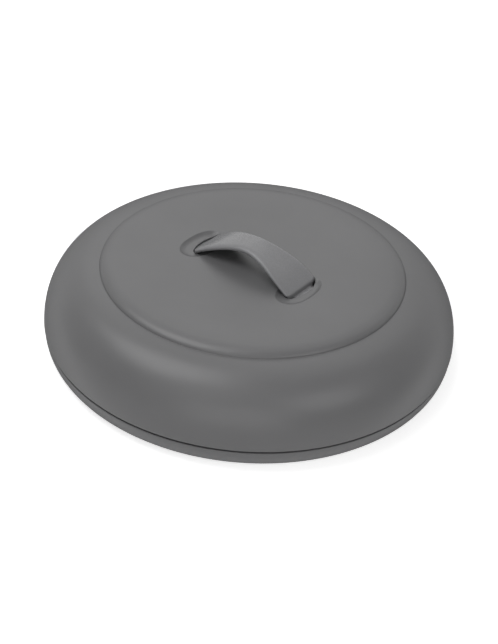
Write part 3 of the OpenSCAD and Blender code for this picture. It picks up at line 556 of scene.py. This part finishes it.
# %% Outline helpers
def quarter(r0, r1, z0, z1, power, start=0.0, end=90.0, steps=48):
    """Quarter of a superellipse, from (r1, z0) at 0 degrees to (r0, z1) at 90."""
    points = []
    for i in range(steps + 1):
        a = math.radians(start + (end - start) * i / steps)
        across, up = max(math.cos(a), 0.0), max(math.sin(a), 0.0)
        points.append((r0 + (r1 - r0) * across ** (2 / power), z0 + (z1 - z0) * up ** (2 / power)))
    return points


def level(z, z0, z1, power):
    """Angle at which such a curve reaches the height z."""
    return math.degrees(math.asin(((z - z0) / (z1 - z0)) ** (power / 2)))


def rounded(corners, closed=False, steps=5):
    """Chain through (r, z) points and (r, z, radius) corners, which become arcs."""
    chain = []
    last = len(corners) - 1
    for i, corner in enumerate(corners):
        here = Vector(corner[:2])
        if len(corner) == 2 or (not closed and i in (0, last)):
            chain.append(tuple(here))
            continue
        before = (Vector(corners[i - 1][:2]) - here).normalized()
        after = (Vector(corners[(i + 1) % (last + 1)][:2]) - here).normalized()
        half = before.angle(after) / 2
        centre = here + (before + after).normalized() * corner[2] / math.sin(half)
        first = here + before * corner[2] / math.tan(half) - centre
        sweep = first.angle_signed(here + after * corner[2] / math.tan(half) - centre)
        for k in range(steps + 1):
            chain.append(tuple(centre + Matrix.Rotation(-sweep * k / steps, 2) @ first))
    if closed:
        chain.append(chain[0])
    return chain


corner = rounded([(0, 0), (2, 0, 1), (2, 2)], steps=2)
print("a 90 degree corner of radius 1:", [tuple(round(v, 2) for v in point) for point in corner])

# %% [markdown]
# The lid's outer shell is one moulding of about 2.8 mm: a dome whose shoulder is a little squarer than an
# ellipse, a crisp groove, and a low plateau with a rounded crest. The dome and everything outside the
# plateau are turned. The plateau has two scooped recesses with a slot in each, which a turned form can't
# have, so it is a flat triangulated disc that takes its height from a formula, joined to the turned part at
# a shared ring.

# %% Lid: turned part
lid_low, lid_high = box_mm("lid_shell")
OUTER_R = 155.0
LID_WALL = 2.8
EDGE_Z = lid_low.z
TOP_Z = lid_high.z
STEP_H = 4.25
STEP_W = 10.0
STEP_R = 113.2
STEP_Z = TOP_Z - STEP_H
DOME_Z = EDGE_Z - 3.0
DOME_POWER = 2.25
CREST_POWER = 2.0
GROOVE_R = 0.5
RIM_ROUND = 0.7
FLANGE_Z = EDGE_Z + 1.5
FLANGE_T = 2.0
FLANGE_IN = 142.2
JOIN_R = STEP_R - STEP_W - 1.0
UNDER_Z = TOP_Z - LID_WALL
INNER_Z = STEP_Z - LID_WALL
INNER_R = OUTER_R - LID_WALL


def lid_outline():
    """From the plateau over the step and the dome, round the rim, and back under the plateau."""
    foot = level(STEP_Z + GROOVE_R, STEP_Z, TOP_Z, CREST_POWER)
    crest = quarter(STEP_R - STEP_W, STEP_R, STEP_Z, TOP_Z, CREST_POWER, foot, 90, 28)
    groove = [(crest[0][0] + GROOVE_R * (1 - math.cos(a)), STEP_Z + GROOVE_R * (1 - math.sin(a)))
              for a in (math.radians(15 * k) for k in range(1, 7))]
    start = level(EDGE_Z + RIM_ROUND, DOME_Z, STEP_Z, DOME_POWER)
    dome = quarter(STEP_R, OUTER_R, DOME_Z, STEP_Z, DOME_POWER, start, 90, 72)
    dome = [p for p in dome[::-1] if p[0] > groove[-1][0] + 0.2]
    rim_x = dome[-1][0] - RIM_ROUND
    rim = [(rim_x + RIM_ROUND * math.cos(a), EDGE_Z + RIM_ROUND * (1 - math.sin(a)))
           for a in (math.radians(15 * k) for k in range(1, 7))]
    flange_top = level(FLANGE_Z + FLANGE_T, DOME_Z, INNER_Z, DOME_POWER)
    inside = quarter(STEP_R, INNER_R, DOME_Z, INNER_Z, DOME_POWER, flange_top, 90, 40)
    flange = [(INNER_R, EDGE_Z), (INNER_R, FLANGE_Z), (FLANGE_IN, FLANGE_Z), (FLANGE_IN, FLANGE_Z + FLANGE_T)]
    under = quarter(JOIN_R, JOIN_R + STEP_W, INNER_Z, UNDER_Z, CREST_POWER, 0, 90, 16)
    return [(JOIN_R, TOP_Z)] + crest[::-1] + groove + dome + rim + flange + inside + under


lid_turned = turned("lid_turned", lid_outline(), shell_abs)
print("lid: turned part has", len(lid_turned.data.polygons), "faces, plateau at", round(TOP_Z, 2), "mm")

# %% [markdown]
# The handle dives into two slots, each in an oval scoop that gives room for fingertips. The scoop's wall
# falls steeply at its lip and levels out towards a flat floor, and its outline is a little squarer than an
# ellipse. The lip is softened by blending the two surfaces, and the slot's edge is eased by a small quarter
# round. The slot is straight on the side below the strap and bulges on the outer side. The disc's points
# are dense only where the surface bends: rings that follow the slot and the scoop's lip. A Delaunay
# triangulation joins them with clean triangles, and those inside the slots are left out.

# %% Lid: plateau with scoops and slots
DISH = 3.4
DISH_POWER = 4
SCOOP_X = 45.0
SCOOP_Y = -5.0
SCOOP_DEPTH = 2.3
SCOOP_HALF_X = 12.2
SCOOP_HALF_Y = 21.5
SCOOP_POWER = 2.3
SCOOP_WALL = 0.3
LIP_SOFT = 0.15
SLOT_OUT = 49.5
SLOT_IN = 40.2
SLOT_HALF_L = 16.35
SLOT_ARC_R = 32.0
SLOT_CORNER = 2.2
SLOT_EASE = 0.6
SLOT_FAN = math.asin((SLOT_HALF_L - SLOT_CORNER) / (SLOT_ARC_R - SLOT_CORNER))
PAD_X = 45.1
PAD_R = 27.0
PAD_Z = UNDER_Z - 4.2


def dish(x, y):
    """Fall of the plateau below its crest, level at the crest and nearly level in the middle."""
    share = min(math.hypot(x, y) / JOIN_R, 1.0)
    return DISH * (1 - share ** DISH_POWER) ** 2


def scoop_height(x, y):
    """Height of the scoop over the plateau: negative inside its lip, and rising outside."""
    across = abs(abs(x) - SCOOP_X) / SCOOP_HALF_X
    along = abs(y - SCOOP_Y) / SCOOP_HALF_Y
    out = (across ** SCOOP_POWER + along ** SCOOP_POWER) ** (1 / SCOOP_POWER)
    climb = max(out - 1 + SCOOP_WALL, 0.0) / SCOOP_WALL
    return SCOOP_DEPTH * (climb ** 2 - 1)


def slot_distance(x, y):
    """Distance from the edge of the nearer slot, negative inside it."""
    bulge = math.hypot(abs(x) - SLOT_OUT + SLOT_ARC_R, y) - SLOT_ARC_R
    across = max(bulge, SLOT_IN - abs(x)) + SLOT_CORNER
    along = abs(y) - SLOT_HALF_L + SLOT_CORNER
    return math.hypot(max(across, 0.0), max(along, 0.0)) + min(max(across, along), 0.0) - SLOT_CORNER


def plateau_height(x, y):
    height = TOP_Z - dish(x, y)
    scoop = scoop_height(x, y)
    if scoop < 8 * LIP_SOFT:
        height += (scoop - math.hypot(scoop, LIP_SOFT)) / 2
    ease = min(max(SLOT_EASE - slot_distance(x, y), 0.0), SLOT_EASE)
    return height - (SLOT_EASE - math.sqrt(SLOT_EASE ** 2 - ease ** 2))


def underside_height(x, y):
    """Underside that follows the dish, with two flat round pads that carry the slots."""
    out = (math.hypot(abs(x) - PAD_X, y) - PAD_R) / 0.8
    share = min(max(out, 0.0), 1.0)
    return PAD_Z + (UNDER_Z - dish(x, y) - PAD_Z) * share


def circle(r, count, x=0.0, y=0.0, stretch=1.0):
    return [Vector((x + r * math.cos(math.tau * i / count), y + stretch * r * math.sin(math.tau * i / count)))
            for i in range(count)]


def fan_of(x, y, r, start, end, steps):
    """Points on an arc round (x, y), between two angles."""
    turns = [start + (end - start) * i / steps for i in range(steps + 1)]
    return [Vector((x + r * math.cos(a), y + r * math.sin(a))) for a in turns]


def slot_ring(side, away):
    """Ring round a slot at a distance from its edge, point by point from its lower outer corner."""
    high = SLOT_HALF_L - SLOT_CORNER
    outer = SLOT_OUT - SLOT_ARC_R + (SLOT_ARC_R - SLOT_CORNER) * math.cos(SLOT_FAN)
    inner = SLOT_IN + SLOT_CORNER
    r = SLOT_CORNER + away
    top = fan_of(SLOT_OUT - SLOT_ARC_R, 0, SLOT_ARC_R + away, 0, SLOT_FAN, 14)
    top += fan_of(outer, high, r, SLOT_FAN, math.pi / 2, 7)[1:]
    top += [Vector((outer + (inner - outer) * i / 8, high + r)) for i in range(1, 8)]
    top += fan_of(inner, high, r, math.pi / 2, math.pi, 7)
    top += [Vector((inner - r, high * (1 - i / 12))) for i in range(1, 12)]
    low = [Vector((p.x, -p.y)) for p in top[:0:-1]]
    ring = top + [Vector((inner - r, 0))] + low
    return [Vector((side * p.x, p.y)) for p in ring]


def scoop_ring(side, scale, count):
    """The scoop's lip, scaled about its middle."""
    ring = []
    for i in range(count):
        c, s = math.cos(math.tau * i / count), math.sin(math.tau * i / count)
        x = SCOOP_HALF_X * math.copysign(abs(c) ** (2 / SCOOP_POWER), c)
        y = SCOOP_HALF_Y * math.copysign(abs(s) ** (2 / SCOOP_POWER), s)
        ring.append(Vector((side * SCOOP_X + scale * x, SCOOP_Y + scale * y)))
    return ring


def plateau_points():
    """Points of the disc, and the loops that triangles may not cross."""
    points = circle(JOIN_R, TURN_SEGMENTS)
    loops = [range(TURN_SEGMENTS)]
    for side in (-1, 1):
        for k in range(6):
            away = SLOT_EASE * (1 - math.sin(math.radians(90 - 18 * k)))
            start = len(points)
            points += slot_ring(side, away)
            loops.append(range(start, len(points)))
    free = []
    for side in (-1, 1):
        for scale in (0.14, 0.28, 0.42, 0.53, 0.59, 0.64, 0.7, 0.76, 0.82, 0.88):
            free += scoop_ring(side, scale, 96)
        for scale in (0.925, 0.955, 0.975, 0.99, 1.0, 1.01, 1.02, 1.035, 1.055, 1.09, 1.15, 1.25):
            free += scoop_ring(side, scale, 192)
        free += circle(PAD_R, 72, side * PAD_X) + circle(PAD_R + 0.8, 72, side * PAD_X)
    for r in range(6, int(JOIN_R) - 3, 7):
        free += circle(r, max(12, int(r * 0.9)))
    crowd = 1.2 + SLOT_EASE
    points += [p for p in free if slot_distance(p.x, p.y) > crowd]
    return points, loops


def plateau_mesh():
    points, loops = plateau_points()
    fences = [(loop[i], loop[(i + 1) % len(loop)]) for loop in loops for i in range(len(loop))]
    flat, _, faces, *_ = delaunay_2d_cdt(points, fences, [], 0, 1e-5)
    kept = []
    for face in faces:
        middle = sum((flat[i] for i in face), Vector((0, 0))) / len(face)
        if slot_distance(*middle) > 0:
            kept.append(tuple(face))
    count = len(flat)
    verts = [(p.x * MM, p.y * MM, plateau_height(*p) * MM) for p in flat]
    verts += [(p.x * MM, p.y * MM, underside_height(*p) * MM) for p in flat]
    used = {}
    for face in kept:
        for a, b in zip(face, face[1:] + face[:1]):
            used[(a, b)] = used.get((a, b), 0) + 1
    rims = [(a, b) for a, b in used if (b, a) not in used and flat[a].length < JOIN_R - 1]
    walls = [(b, a, a + count, b + count) for a, b in rims]
    under = [tuple(i + count for i in reversed(face)) for face in kept]
    mesh = bpy.data.meshes.new("lid_plateau")
    mesh.from_pydata(verts, [], kept + under + walls)
    return mesh


def join_meshes(name, meshes, material):
    """One object from several meshes, welded where they meet."""
    work = bmesh.new()
    for mesh in meshes:
        work.from_mesh(mesh)
    bmesh.ops.remove_doubles(work, verts=work.verts, dist=5 * WELD)
    loose = [v for v in work.verts if not v.link_faces]
    bmesh.ops.delete(work, geom=loose, context="VERTS")
    mesh = bpy.data.meshes.new(name)
    work.to_mesh(mesh)
    work.free()
    return plain_mesh(link(name, mesh), material)


def open_edges(obj):
    """Edges that don't have exactly two faces: a closed skin has none."""
    work = bmesh.new()
    work.from_mesh(obj.data)
    count = sum(len(e.link_faces) != 2 for e in work.edges)
    work.free()
    return count


lid = join_meshes("lid_dome", [lid_turned.data, plateau_mesh()], shell_abs)
bpy.data.objects.remove(lid_turned)
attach(lid, "lid")
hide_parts("lid_shell")
print("lid:", len(lid.data.polygons), "faces,", open_edges(lid), "open edges")

# %% [markdown]
# The handle is a broad strap, thinnest at its waist and widest at its shoulders, that arches over the
# plateau and bends down into the slots. It could be a swept profile, but the width, the thickness and the
# heading all change on the way, so it is lofted: a rounded rectangle is set up at many stations along half
# the strap, mirrored for the other half, and the rings are joined by a skin.

# %% Handle strap
strap_low, strap_high = box_mm("handle_strap")
CROWN_Z = strap_high.z
STRAP_DROP = 16.65
STRAP_POWER = 1.8
STRAP_REACH = 43.8
BEND_R = 3.0
CROWN_T = 4.1
TAB_T = 3.1
WAIST_HALF = 11.6
SHOULDER_HALF = 17.2
SHOULDER_X = 42.0
TAB_HALF = 16.0
FOOT_HALF = 12.5
FOOT_T = 3.0
TOE_R = 1.0
EDGE_W = 5.0
EDGE_SHARE = 0.58
LOW_R = 1.2


def arch_fall(x):
    return math.atan(STRAP_DROP * STRAP_POWER / STRAP_REACH * (x / STRAP_REACH) ** (STRAP_POWER - 1))


def arch_z(x):
    return CROWN_Z - STRAP_DROP * (x / STRAP_REACH) ** STRAP_POWER


def strap_half(x):
    return WAIST_HALF + (SHOULDER_HALF - WAIST_HALF) * (1 - math.cos(math.pi * x / SHOULDER_X)) / 2


def strap_stations(arch_steps=48, bend_steps=12, toe_steps=5):
    """(x, z, fall, half width, thickness) along the upper face, from the crown to the end of the foot."""
    stations = []
    for i in range(arch_steps + 1):
        x = STRAP_REACH * i / arch_steps
        thickness = CROWN_T - (CROWN_T - TAB_T) * (i / arch_steps) ** 2
        stations.append((x, arch_z(x), arch_fall(x), strap_half(x), thickness))
    fall = arch_fall(STRAP_REACH)
    tab_x = STRAP_REACH + BEND_R * (1 - math.sin(fall))
    bend_z = arch_z(STRAP_REACH) - BEND_R * math.cos(fall)
    for i in range(1, bend_steps + 1):
        f = i / bend_steps
        a = fall + (math.pi / 2 - fall) * f
        half = strap_half(STRAP_REACH) + (TAB_HALF - strap_half(STRAP_REACH)) * f
        stations.append((tab_x - BEND_R * (1 - math.sin(a)), bend_z + BEND_R * math.cos(a), a, half, TAB_T))
    for i in range(toe_steps + 1):
        f = i / toe_steps
        a = math.pi / 2 * (1 - f)
        stations.append((tab_x + TOE_R * (1 - math.sin(a)), PAD_Z + TOE_R * (1 - math.cos(a)), a,
                         TAB_HALF + (FOOT_HALF - TAB_HALF) * f, TAB_T + (FOOT_T - TAB_T) * f))
    stations.append((strap_high.x, PAD_Z, 0.0, FOOT_HALF, FOOT_T))
    return stations


def strap_ring(x, z, fall, half, thickness, steps=7):
    """Section that hangs from the upper face at one station, with broad soft upper edges."""
    edge_h = EDGE_SHARE * thickness
    ring = []
    for q in range(4):
        wide, high = (EDGE_W, edge_h) if q < 2 else (LOW_R, LOW_R)
        for i in range(steps + 1):
            a = math.pi / 2 * (q + i / steps)
            y = (half - wide) * (1 if q in (0, 3) else -1) + wide * math.cos(a)
            down = (-edge_h if q < 2 else LOW_R - thickness) + high * math.sin(a)
            ring.append((x + down * math.sin(fall), -y, z + down * math.cos(fall)))
    return ring


def lofted(name, rings, material):
    """Closed skin over rings of points in millimetres, all with the same count."""
    n = len(rings[0])
    verts = [tuple(v * MM for v in p) for ring in rings for p in ring]
    faces = [(i * n + k, i * n + (k + 1) % n, (i + 1) * n + (k + 1) % n, (i + 1) * n + k)
             for i in range(len(rings) - 1) for k in range(n)]
    faces += [tuple(range(n)), tuple(range((len(rings) - 1) * n, len(rings) * n))]
    mesh = bpy.data.meshes.new(name)
    mesh.from_pydata(verts, [], faces)
    return plain_mesh(link(name, mesh), material)


right_half = strap_stations()
left_half = [(-x, z, -fall, half, t) for x, z, fall, half, t in right_half[:0:-1]]
strap = lofted("strap_handle", [strap_ring(*s) for s in left_half + right_half], strap_silicone)
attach(strap, "lid")
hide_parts("handle_strap")
print("strap:", len(strap.data.polygons), "faces,", open_edges(strap), "open edges")

# %% [markdown]
# Under the shell, the lid has a spun liner that keeps the heat in, and a silicone seal pressed into the gap
# between liner and shell. From outside, the seal is the thin dark line between lid and base. Both are
# closed outlines, turned about the axis.

# %% Lid: liner and seal
liner_low, liner_high = box_mm("lid_liner")
seal_low, seal_high = box_mm("rim_seal")
LINER_T = 1.2
LINER_RIM_R = 147.0
LINER_WALL_R = 141.6
LINER_CROWN_R = 96.0
LINER_POWER = 2.3
SEAL_IN = LINER_RIM_R + 0.2
SEAL_OUT = INNER_R - 0.2


def liner_outline():
    outer = quarter(LINER_CROWN_R, LINER_WALL_R, liner_low.z, liner_high.z, LINER_POWER,
                    level(FLANGE_Z, liner_low.z, liner_high.z, LINER_POWER), 90, 40)
    inner = quarter(LINER_CROWN_R, LINER_WALL_R - LINER_T, liner_low.z, liner_high.z - LINER_T, LINER_POWER,
                    0, 90, 40)
    rim = rounded([(LINER_WALL_R - LINER_T, liner_low.z), (LINER_RIM_R, liner_low.z, 0.5),
                   (LINER_RIM_R, FLANGE_Z, 0.5), outer[0]])
    return [(0, liner_high.z - LINER_T)] + inner[::-1] + rim[1:] + outer[1:] + [(0, liner_high.z)]


def seal_outline():
    """Two soft lips that rest on the base, joined by a web."""
    web_z = seal_low.z + 0.9
    lip = 1.4
    return rounded([
        (SEAL_IN, seal_high.z), (SEAL_IN, seal_low.z, 0.6), (SEAL_IN + lip, seal_low.z, 0.5),
        (SEAL_IN + lip + 0.3, web_z, 0.2), (SEAL_OUT - lip - 0.3, web_z, 0.2),
        (SEAL_OUT - lip, seal_low.z, 0.5), (SEAL_OUT, seal_low.z, 0.6), (SEAL_OUT, seal_high.z)], closed=True)


liner = turned("lid_liner_spun", liner_outline(), liner_aluminium)
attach(liner, "lid")
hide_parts("lid_liner")
seal = turned("lid_seal", seal_outline(), seal_silicone)
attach(seal, "lid")
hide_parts("rim_seal")
print("liner:", open_edges(liner), "open edges; seal:", open_edges(seal), "open edges")

# %% [markdown]
# The base is a moulded ring. What shows is a band that tapers in under the lid's edge, with a flat landing
# on top. At the rear the band is cut back to a flat panel with the socket for a detachable lead and a
# rocker switch. The ring is turned, and the rear is cut with Boolean modifiers, as a mould maker would
# machine those pockets into the round form.

# %% Base housing
base_low, base_high = box_mm("base_housing")
LAND_Z = base_high.z
BASE_Z = base_low.z
LAND_IN = 130.5
LAND_T = 2.6
LIP_T = 2.2
LIP_H = 2.3
BAND_TOP_R = OUTER_R - 0.4
BAND_FOOT_R = OUTER_R - 8.6
BAND_WALL = 2.6
BAND_POWER = 2.2
PANEL_HALF = 38.0
PANEL_Y = 145.5
PANEL_T = 2.5
REAR_Z = BASE_Z + 6.4
SOCKET_X = -16.0
SOCKET_HALF_W = 8.5
SOCKET_R = 4.4
SHROUD_Y = 131.0
SWITCH_X = 18.0


def band(steps=36):
    """Outer face of the band, from its eased top edge down to its foot."""
    start = level(LAND_Z - RIM_ROUND, LAND_Z, BASE_Z, BAND_POWER)
    face = quarter(BAND_FOOT_R, BAND_TOP_R, LAND_Z, BASE_Z, BAND_POWER, start, 90, steps)
    edge_x = face[0][0] - RIM_ROUND
    edge = [(edge_x + RIM_ROUND * math.sin(a), LAND_Z - RIM_ROUND * (1 - math.cos(a)))
            for a in (math.radians(15 * k) for k in range(6))]
    return edge + face


def housing_outline():
    inner = quarter(BAND_FOOT_R - BAND_WALL, BAND_TOP_R - BAND_WALL, LAND_Z - LAND_T, BASE_Z, BAND_POWER,
                    0, 90, 24)
    lip = [(LAND_IN + LIP_T, LAND_Z - LAND_T), (LAND_IN + LIP_T, LAND_Z - LAND_T - LIP_H),
           (LAND_IN, LAND_Z - LAND_T - LIP_H), (LAND_IN, LAND_Z)]
    chain = band() + inner[::-1] + lip
    return chain + [chain[0]]


def block(name, low, high):
    """Box between two corners in millimetres, as a cutting or filling body."""
    mesh = bpy.data.meshes.new(name)
    work = bmesh.new()
    bmesh.ops.create_cube(work, size=1.0)
    low, high = Vector(low) * MM, Vector(high) * MM
    for vert in work.verts:
        vert.co = Vector(low[i] + (high[i] - low[i]) * (vert.co[i] + 0.5) for i in range(3))
    work.to_mesh(mesh)
    work.free()
    return link(name, mesh)


def prism_y(name, outline, y0, y1):
    """Flat outline of (x, z) points, drawn out along Y."""
    n = len(outline)
    verts = [(x * MM, y * MM, z * MM) for y in (y0, y1) for x, z in outline]
    faces = [tuple(range(n)), tuple(range(n, 2 * n))]
    faces += [(k, (k + 1) % n, n + (k + 1) % n, n + k) for k in range(n)]
    mesh = bpy.data.meshes.new(name)
    mesh.from_pydata(verts, [], faces)
    return plain_mesh(link(name, mesh))


def figure_of_eight(half_w, r, squeeze=0.94, steps=24):
    """Two lobes joined by a slightly narrower middle, round (0, 0)."""
    meet = math.degrees(math.asin(squeeze))
    right = [(half_w - r + r * math.cos(a), r * math.sin(a))
             for a in (math.radians(-180 + meet + (360 - 2 * meet) * i / steps) for i in range(steps + 1))]
    return right + [(-x, -z) for x, z in right]


def carve(obj, operation, tool):
    """Applies one Boolean and uses up the tool."""
    modifier = obj.modifiers.new("cut", "BOOLEAN")
    modifier.operation = operation
    modifier.solver = "EXACT"
    modifier.object = tool
    plain_mesh(obj)
    bpy.data.objects.remove(tool)
    return obj


def rear_panel():
    """Flat wall behind the cut, with the shroud of the socket, trimmed to end inside the band's wall."""
    left, right = SOCKET_X - SOCKET_HALF_W - 3, SOCKET_X + SOCKET_HALF_W + 3
    end = PANEL_HALF + 2.5
    wall = block("wall", (-end, PANEL_Y - PANEL_T, BASE_Z - 1), (end, 165, LAND_Z - 1))
    carve(wall, "UNION", block("shroud", (left, SHROUD_Y, BASE_Z - 1), (right, PANEL_Y + 1, LAND_Z - 1.2)))
    trimmed = [(r - BAND_WALL / 2, z) for r, z in band()]
    trimmed[-1] = (trimmed[-1][0], BASE_Z + 0.02)
    round_form = turned("round_form", [(0, LAND_Z)] + trimmed + [(0, BASE_Z + 0.02)], shell_abs)
    return carve(wall, "INTERSECT", round_form)


housing = turned("base_band", housing_outline(), shell_abs)
lip_low = LAND_Z - LAND_T - LIP_H - 1
lip_gap = block("lip_gap", (-28, SHROUD_Y - 12, lip_low), (28, SHROUD_Y + 6, LAND_Z - LAND_T - 0.03))
carve(housing, "DIFFERENCE", lip_gap)
carve(housing, "UNION", rear_panel())
cut_back = block("cut_back", (-PANEL_HALF, PANEL_Y, BASE_Z - 1), (PANEL_HALF, 170, LAND_Z - 2.4))
carve(housing, "DIFFERENCE", cut_back)
socket = [(SOCKET_X + x, REAR_Z + z) for x, z in figure_of_eight(SOCKET_HALF_W, SOCKET_R)]
carve(housing, "DIFFERENCE", prism_y("socket", socket, SHROUD_Y - 1, 160))
carve(housing, "DIFFERENCE", block("switch_hole", (SWITCH_X - 7.6, PANEL_Y - 10, REAR_Z - 4.1),
                                   (SWITCH_X + 7.6, PANEL_Y + 10, REAR_Z + 4.1)))
plain_mesh(housing, shell_abs)
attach(housing, "base")
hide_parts("base_housing")
print("housing:", len(housing.data.polygons), "faces,", open_edges(housing), "open edges")

# %% [markdown]
# With the lid off, the heated plate shows: a cast disc with a low bead round the cooking surface and a
# flange that is screwed down on the landing. It is one turned outline from the axis to the flange and back.
# The bosses below it, which carry the heater's clips, are not drawn.

# %% Heating plate
plate_low, plate_high = box_mm("heating_plate")
PLATE_R = OUTER_R - 16.0
COOK_R = 127.5
COOK_Z = LAND_Z + 6.1
PLATE_Z = COOK_Z - 3.5
PLATE_FLANGE_Z = LAND_Z + 1.2
PLATE_FLANGE_T = 3.0
BEAD_R = 1.6
BEAD_X = COOK_R + 3.6


def plate_outline():
    flange_top = PLATE_FLANGE_Z + PLATE_FLANGE_T
    bead_z = COOK_Z + 2.0 - BEAD_R
    bead = [(BEAD_X + BEAD_R * math.cos(a), bead_z + BEAD_R * math.sin(a))
            for a in (math.radians(155 * i / 14) for i in range(15))]
    outer = rounded([
        (LAND_IN - 1, PLATE_Z), (LAND_IN - 1, PLATE_FLANGE_Z, 0.4), (PLATE_R, PLATE_FLANGE_Z, 0.4),
        (PLATE_R, flange_top, 0.6), (BEAD_X + BEAD_R + 0.8, flange_top, 0.5), bead[0]])
    inner = rounded([bead[-1], (COOK_R + 1.0, COOK_Z, 1.2), (COOK_R - 1.5, COOK_Z)])
    return [(0, PLATE_Z)] + outer[:-1] + bead + inner[1:] + [(0, COOK_Z)]


plate = turned("cooking_plate", plate_outline(), plate_coat)
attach(plate, "base")
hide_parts("heating_plate")
print("plate:", len(plate.data.polygons), "faces, cooking surface at", round(COOK_Z, 2), "mm")

# %% [markdown]
# Feet and the screws that a viewer can find. A foot is a rubber button with a barbed stem that snaps into
# the cover. A screw is a turned pan head and shank with a cross recess cut into the head. Each is made once
# and set round its circle by the second tree.

# %% Feet and screws
FOOT_RING_R = 120.0
COVER_SCREW_R = 138.5
LINER_SCREW_R = 144.4
ANCHOR_HEAD_R = 2.8
ANCHOR_LENGTH = 5.5


def foot_item():
    cover_top = BASE_Z + 2.2
    outline = rounded([
        (0, 0), (7.6, 0, 0.8), (8, BASE_Z, 0.4), (2.4, BASE_Z), (2.4, cover_top), (3.4, cover_top, 0.2),
        (3.1, cover_top + 1), (1.6, cover_top + 1.8, 0.5), (0, cover_top + 1.8)])
    return turned("foot", outline, foot_rubber, 64)


def screw_item(z, length, shank_r, head_r, head_h):
    """Pan head below z, shank above it, with a cross recess in the head."""
    outline = rounded([
        (0, z - head_h), (head_r * 0.8, z - head_h, head_h * 0.4), (head_r, z - head_h * 0.35, head_h * 0.25),
        (head_r, z, 0.1), (shank_r, z), (shank_r, z + length - 0.8), (shank_r * 0.4, z + length), (0, z + length)])
    screw = turned("screw", outline, zinc_plate, 48)
    arm, half = head_r * 0.58, head_r * 0.14
    low, high = z - head_h - 1, z - head_h * 0.5
    carve(screw, "DIFFERENCE", block("arm", (-arm, -half, low), (arm, half, high)))
    return carve(screw, "DIFFERENCE", block("arm", (-half, -arm, low), (half, arm, high)))


feet = set_round("feet", foot_item(), 4, FOOT_RING_R, 45, foot_rubber)
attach(feet, "base")
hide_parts("foot_1", "foot_2", "foot_3", "foot_4")
cover_screw = screw_item(BASE_Z + 1.3, 7, 1.4, 2.8, 1.2)
cover_screws = set_round("cover_screw_set", cover_screw, 6, COVER_SCREW_R, 0, zinc_plate)
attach(cover_screws, "base")
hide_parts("cover_screws")
liner_screw = screw_item(EDGE_Z, 6.2, 1.0, 2.2, 1.0)
liner_screws = set_round("liner_screw_set", liner_screw, 6, LINER_SCREW_R, 30, zinc_plate)
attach(liner_screws, "lid")
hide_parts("liner_screws")
anchor_low, anchor_high = box_mm("anchor_screws")
anchor_screw = screw_item(anchor_low.z + 1.5, ANCHOR_LENGTH, 1.4, ANCHOR_HEAD_R, 1.5)
spots = []
for side, end in ((-1, -1), (-1, 1), (1, -1), (1, 1)):
    spot = anchor_screw.data.copy()
    x = side * (anchor_high.x - ANCHOR_HEAD_R) * MM
    y = end * (anchor_high.y - ANCHOR_HEAD_R) * MM
    spot.transform(Matrix.Translation((x, y, 0)))
    spots.append(spot)
anchor_screws = join_meshes("anchor_screw_set", spots, zinc_plate)
bpy.data.objects.remove(anchor_screw)
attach(anchor_screws, "lid")
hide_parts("anchor_screws")
screw_sets = [feet, cover_screws, liner_screws, anchor_screws]
print("feet and screws:", [len(o.data.polygons) for o in screw_sets], "faces")

# %% [markdown]
# The remaining pieces keep their own meshes, because their shapes are right. Two of them, the rocker and the
# switch's frame, are seen close from behind, so each gets a copy whose triangles are merged back to flat
# faces and whose edges are eased with a bevel, as the moulded parts have.

# %% Eased copies of the switch pieces
def eased_copy(name, node, width_mm, material, body):
    work = bmesh.new()
    work.from_mesh(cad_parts[node].data)
    bmesh.ops.remove_doubles(work, verts=work.verts, dist=WELD)
    bmesh.ops.dissolve_limit(work, angle_limit=math.radians(1), verts=work.verts, edges=work.edges)
    mesh = bpy.data.meshes.new(name)
    work.to_mesh(mesh)
    work.free()
    obj = link(name, mesh)
    bevel = obj.modifiers.new("ease", "BEVEL")
    bevel.width = width_mm * MM
    bevel.segments = 3
    bevel.limit_method = "ANGLE"
    bevel.angle_limit = math.radians(40)
    plain_mesh(obj, material)
    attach(obj, body)
    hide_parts(node)
    return obj


rocker = eased_copy("rocker", "switch_rocker", 0.3, rocker_abs, "switch")
bezel = eased_copy("switch_frame", "switch_housing", 0.2, black_nylon, "base")
print("switch pieces:", open_edges(rocker), open_edges(bezel), "open edges")

# %% [markdown]
# Last, every node that keeps its own mesh gets its material. The table is read like a parts list: which
# stuff, and which pieces are made of it.

# %% Materials on the carried-over pieces
PARTS_LIST = [
    (cover_pp, ["bottom_cover"]),
    (gasket_silicone, ["plate_gasket"]),
    (sheath_steel, ["heating_element"]),
    (spring_steel, ["element_clips", "thermostat", "thermostat_bracket", "fuse_clip", "handle_anchor_left",
                    "handle_anchor_right"]),
    (zinc_plate, ["element_screws", "shield_screws", "bracket_screws", "fuse_screw", "plate_screws"]),
    (shield_steel, ["heat_shield"]),
    (fibre_felt, ["insulation_pad"]),
    (fuse_ceramic, ["thermal_fuse"]),
    (black_nylon, ["inlet_carrier"]),
    (brass, ["inlet_pins", "switch_terminals"]),
    (lead_brown, ["wire_live", "wire_switched"]),
    (lead_white, ["wire_fuse", "wire_thermostat"]),
    (lead_blue, ["wire_neutral"]),
]
for material, names in PARTS_LIST:
    for name in names:
        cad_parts[name].material_slots[0].material = material
print("parts list:", sum(len(names) for _, names in PARTS_LIST), "nodes dressed")
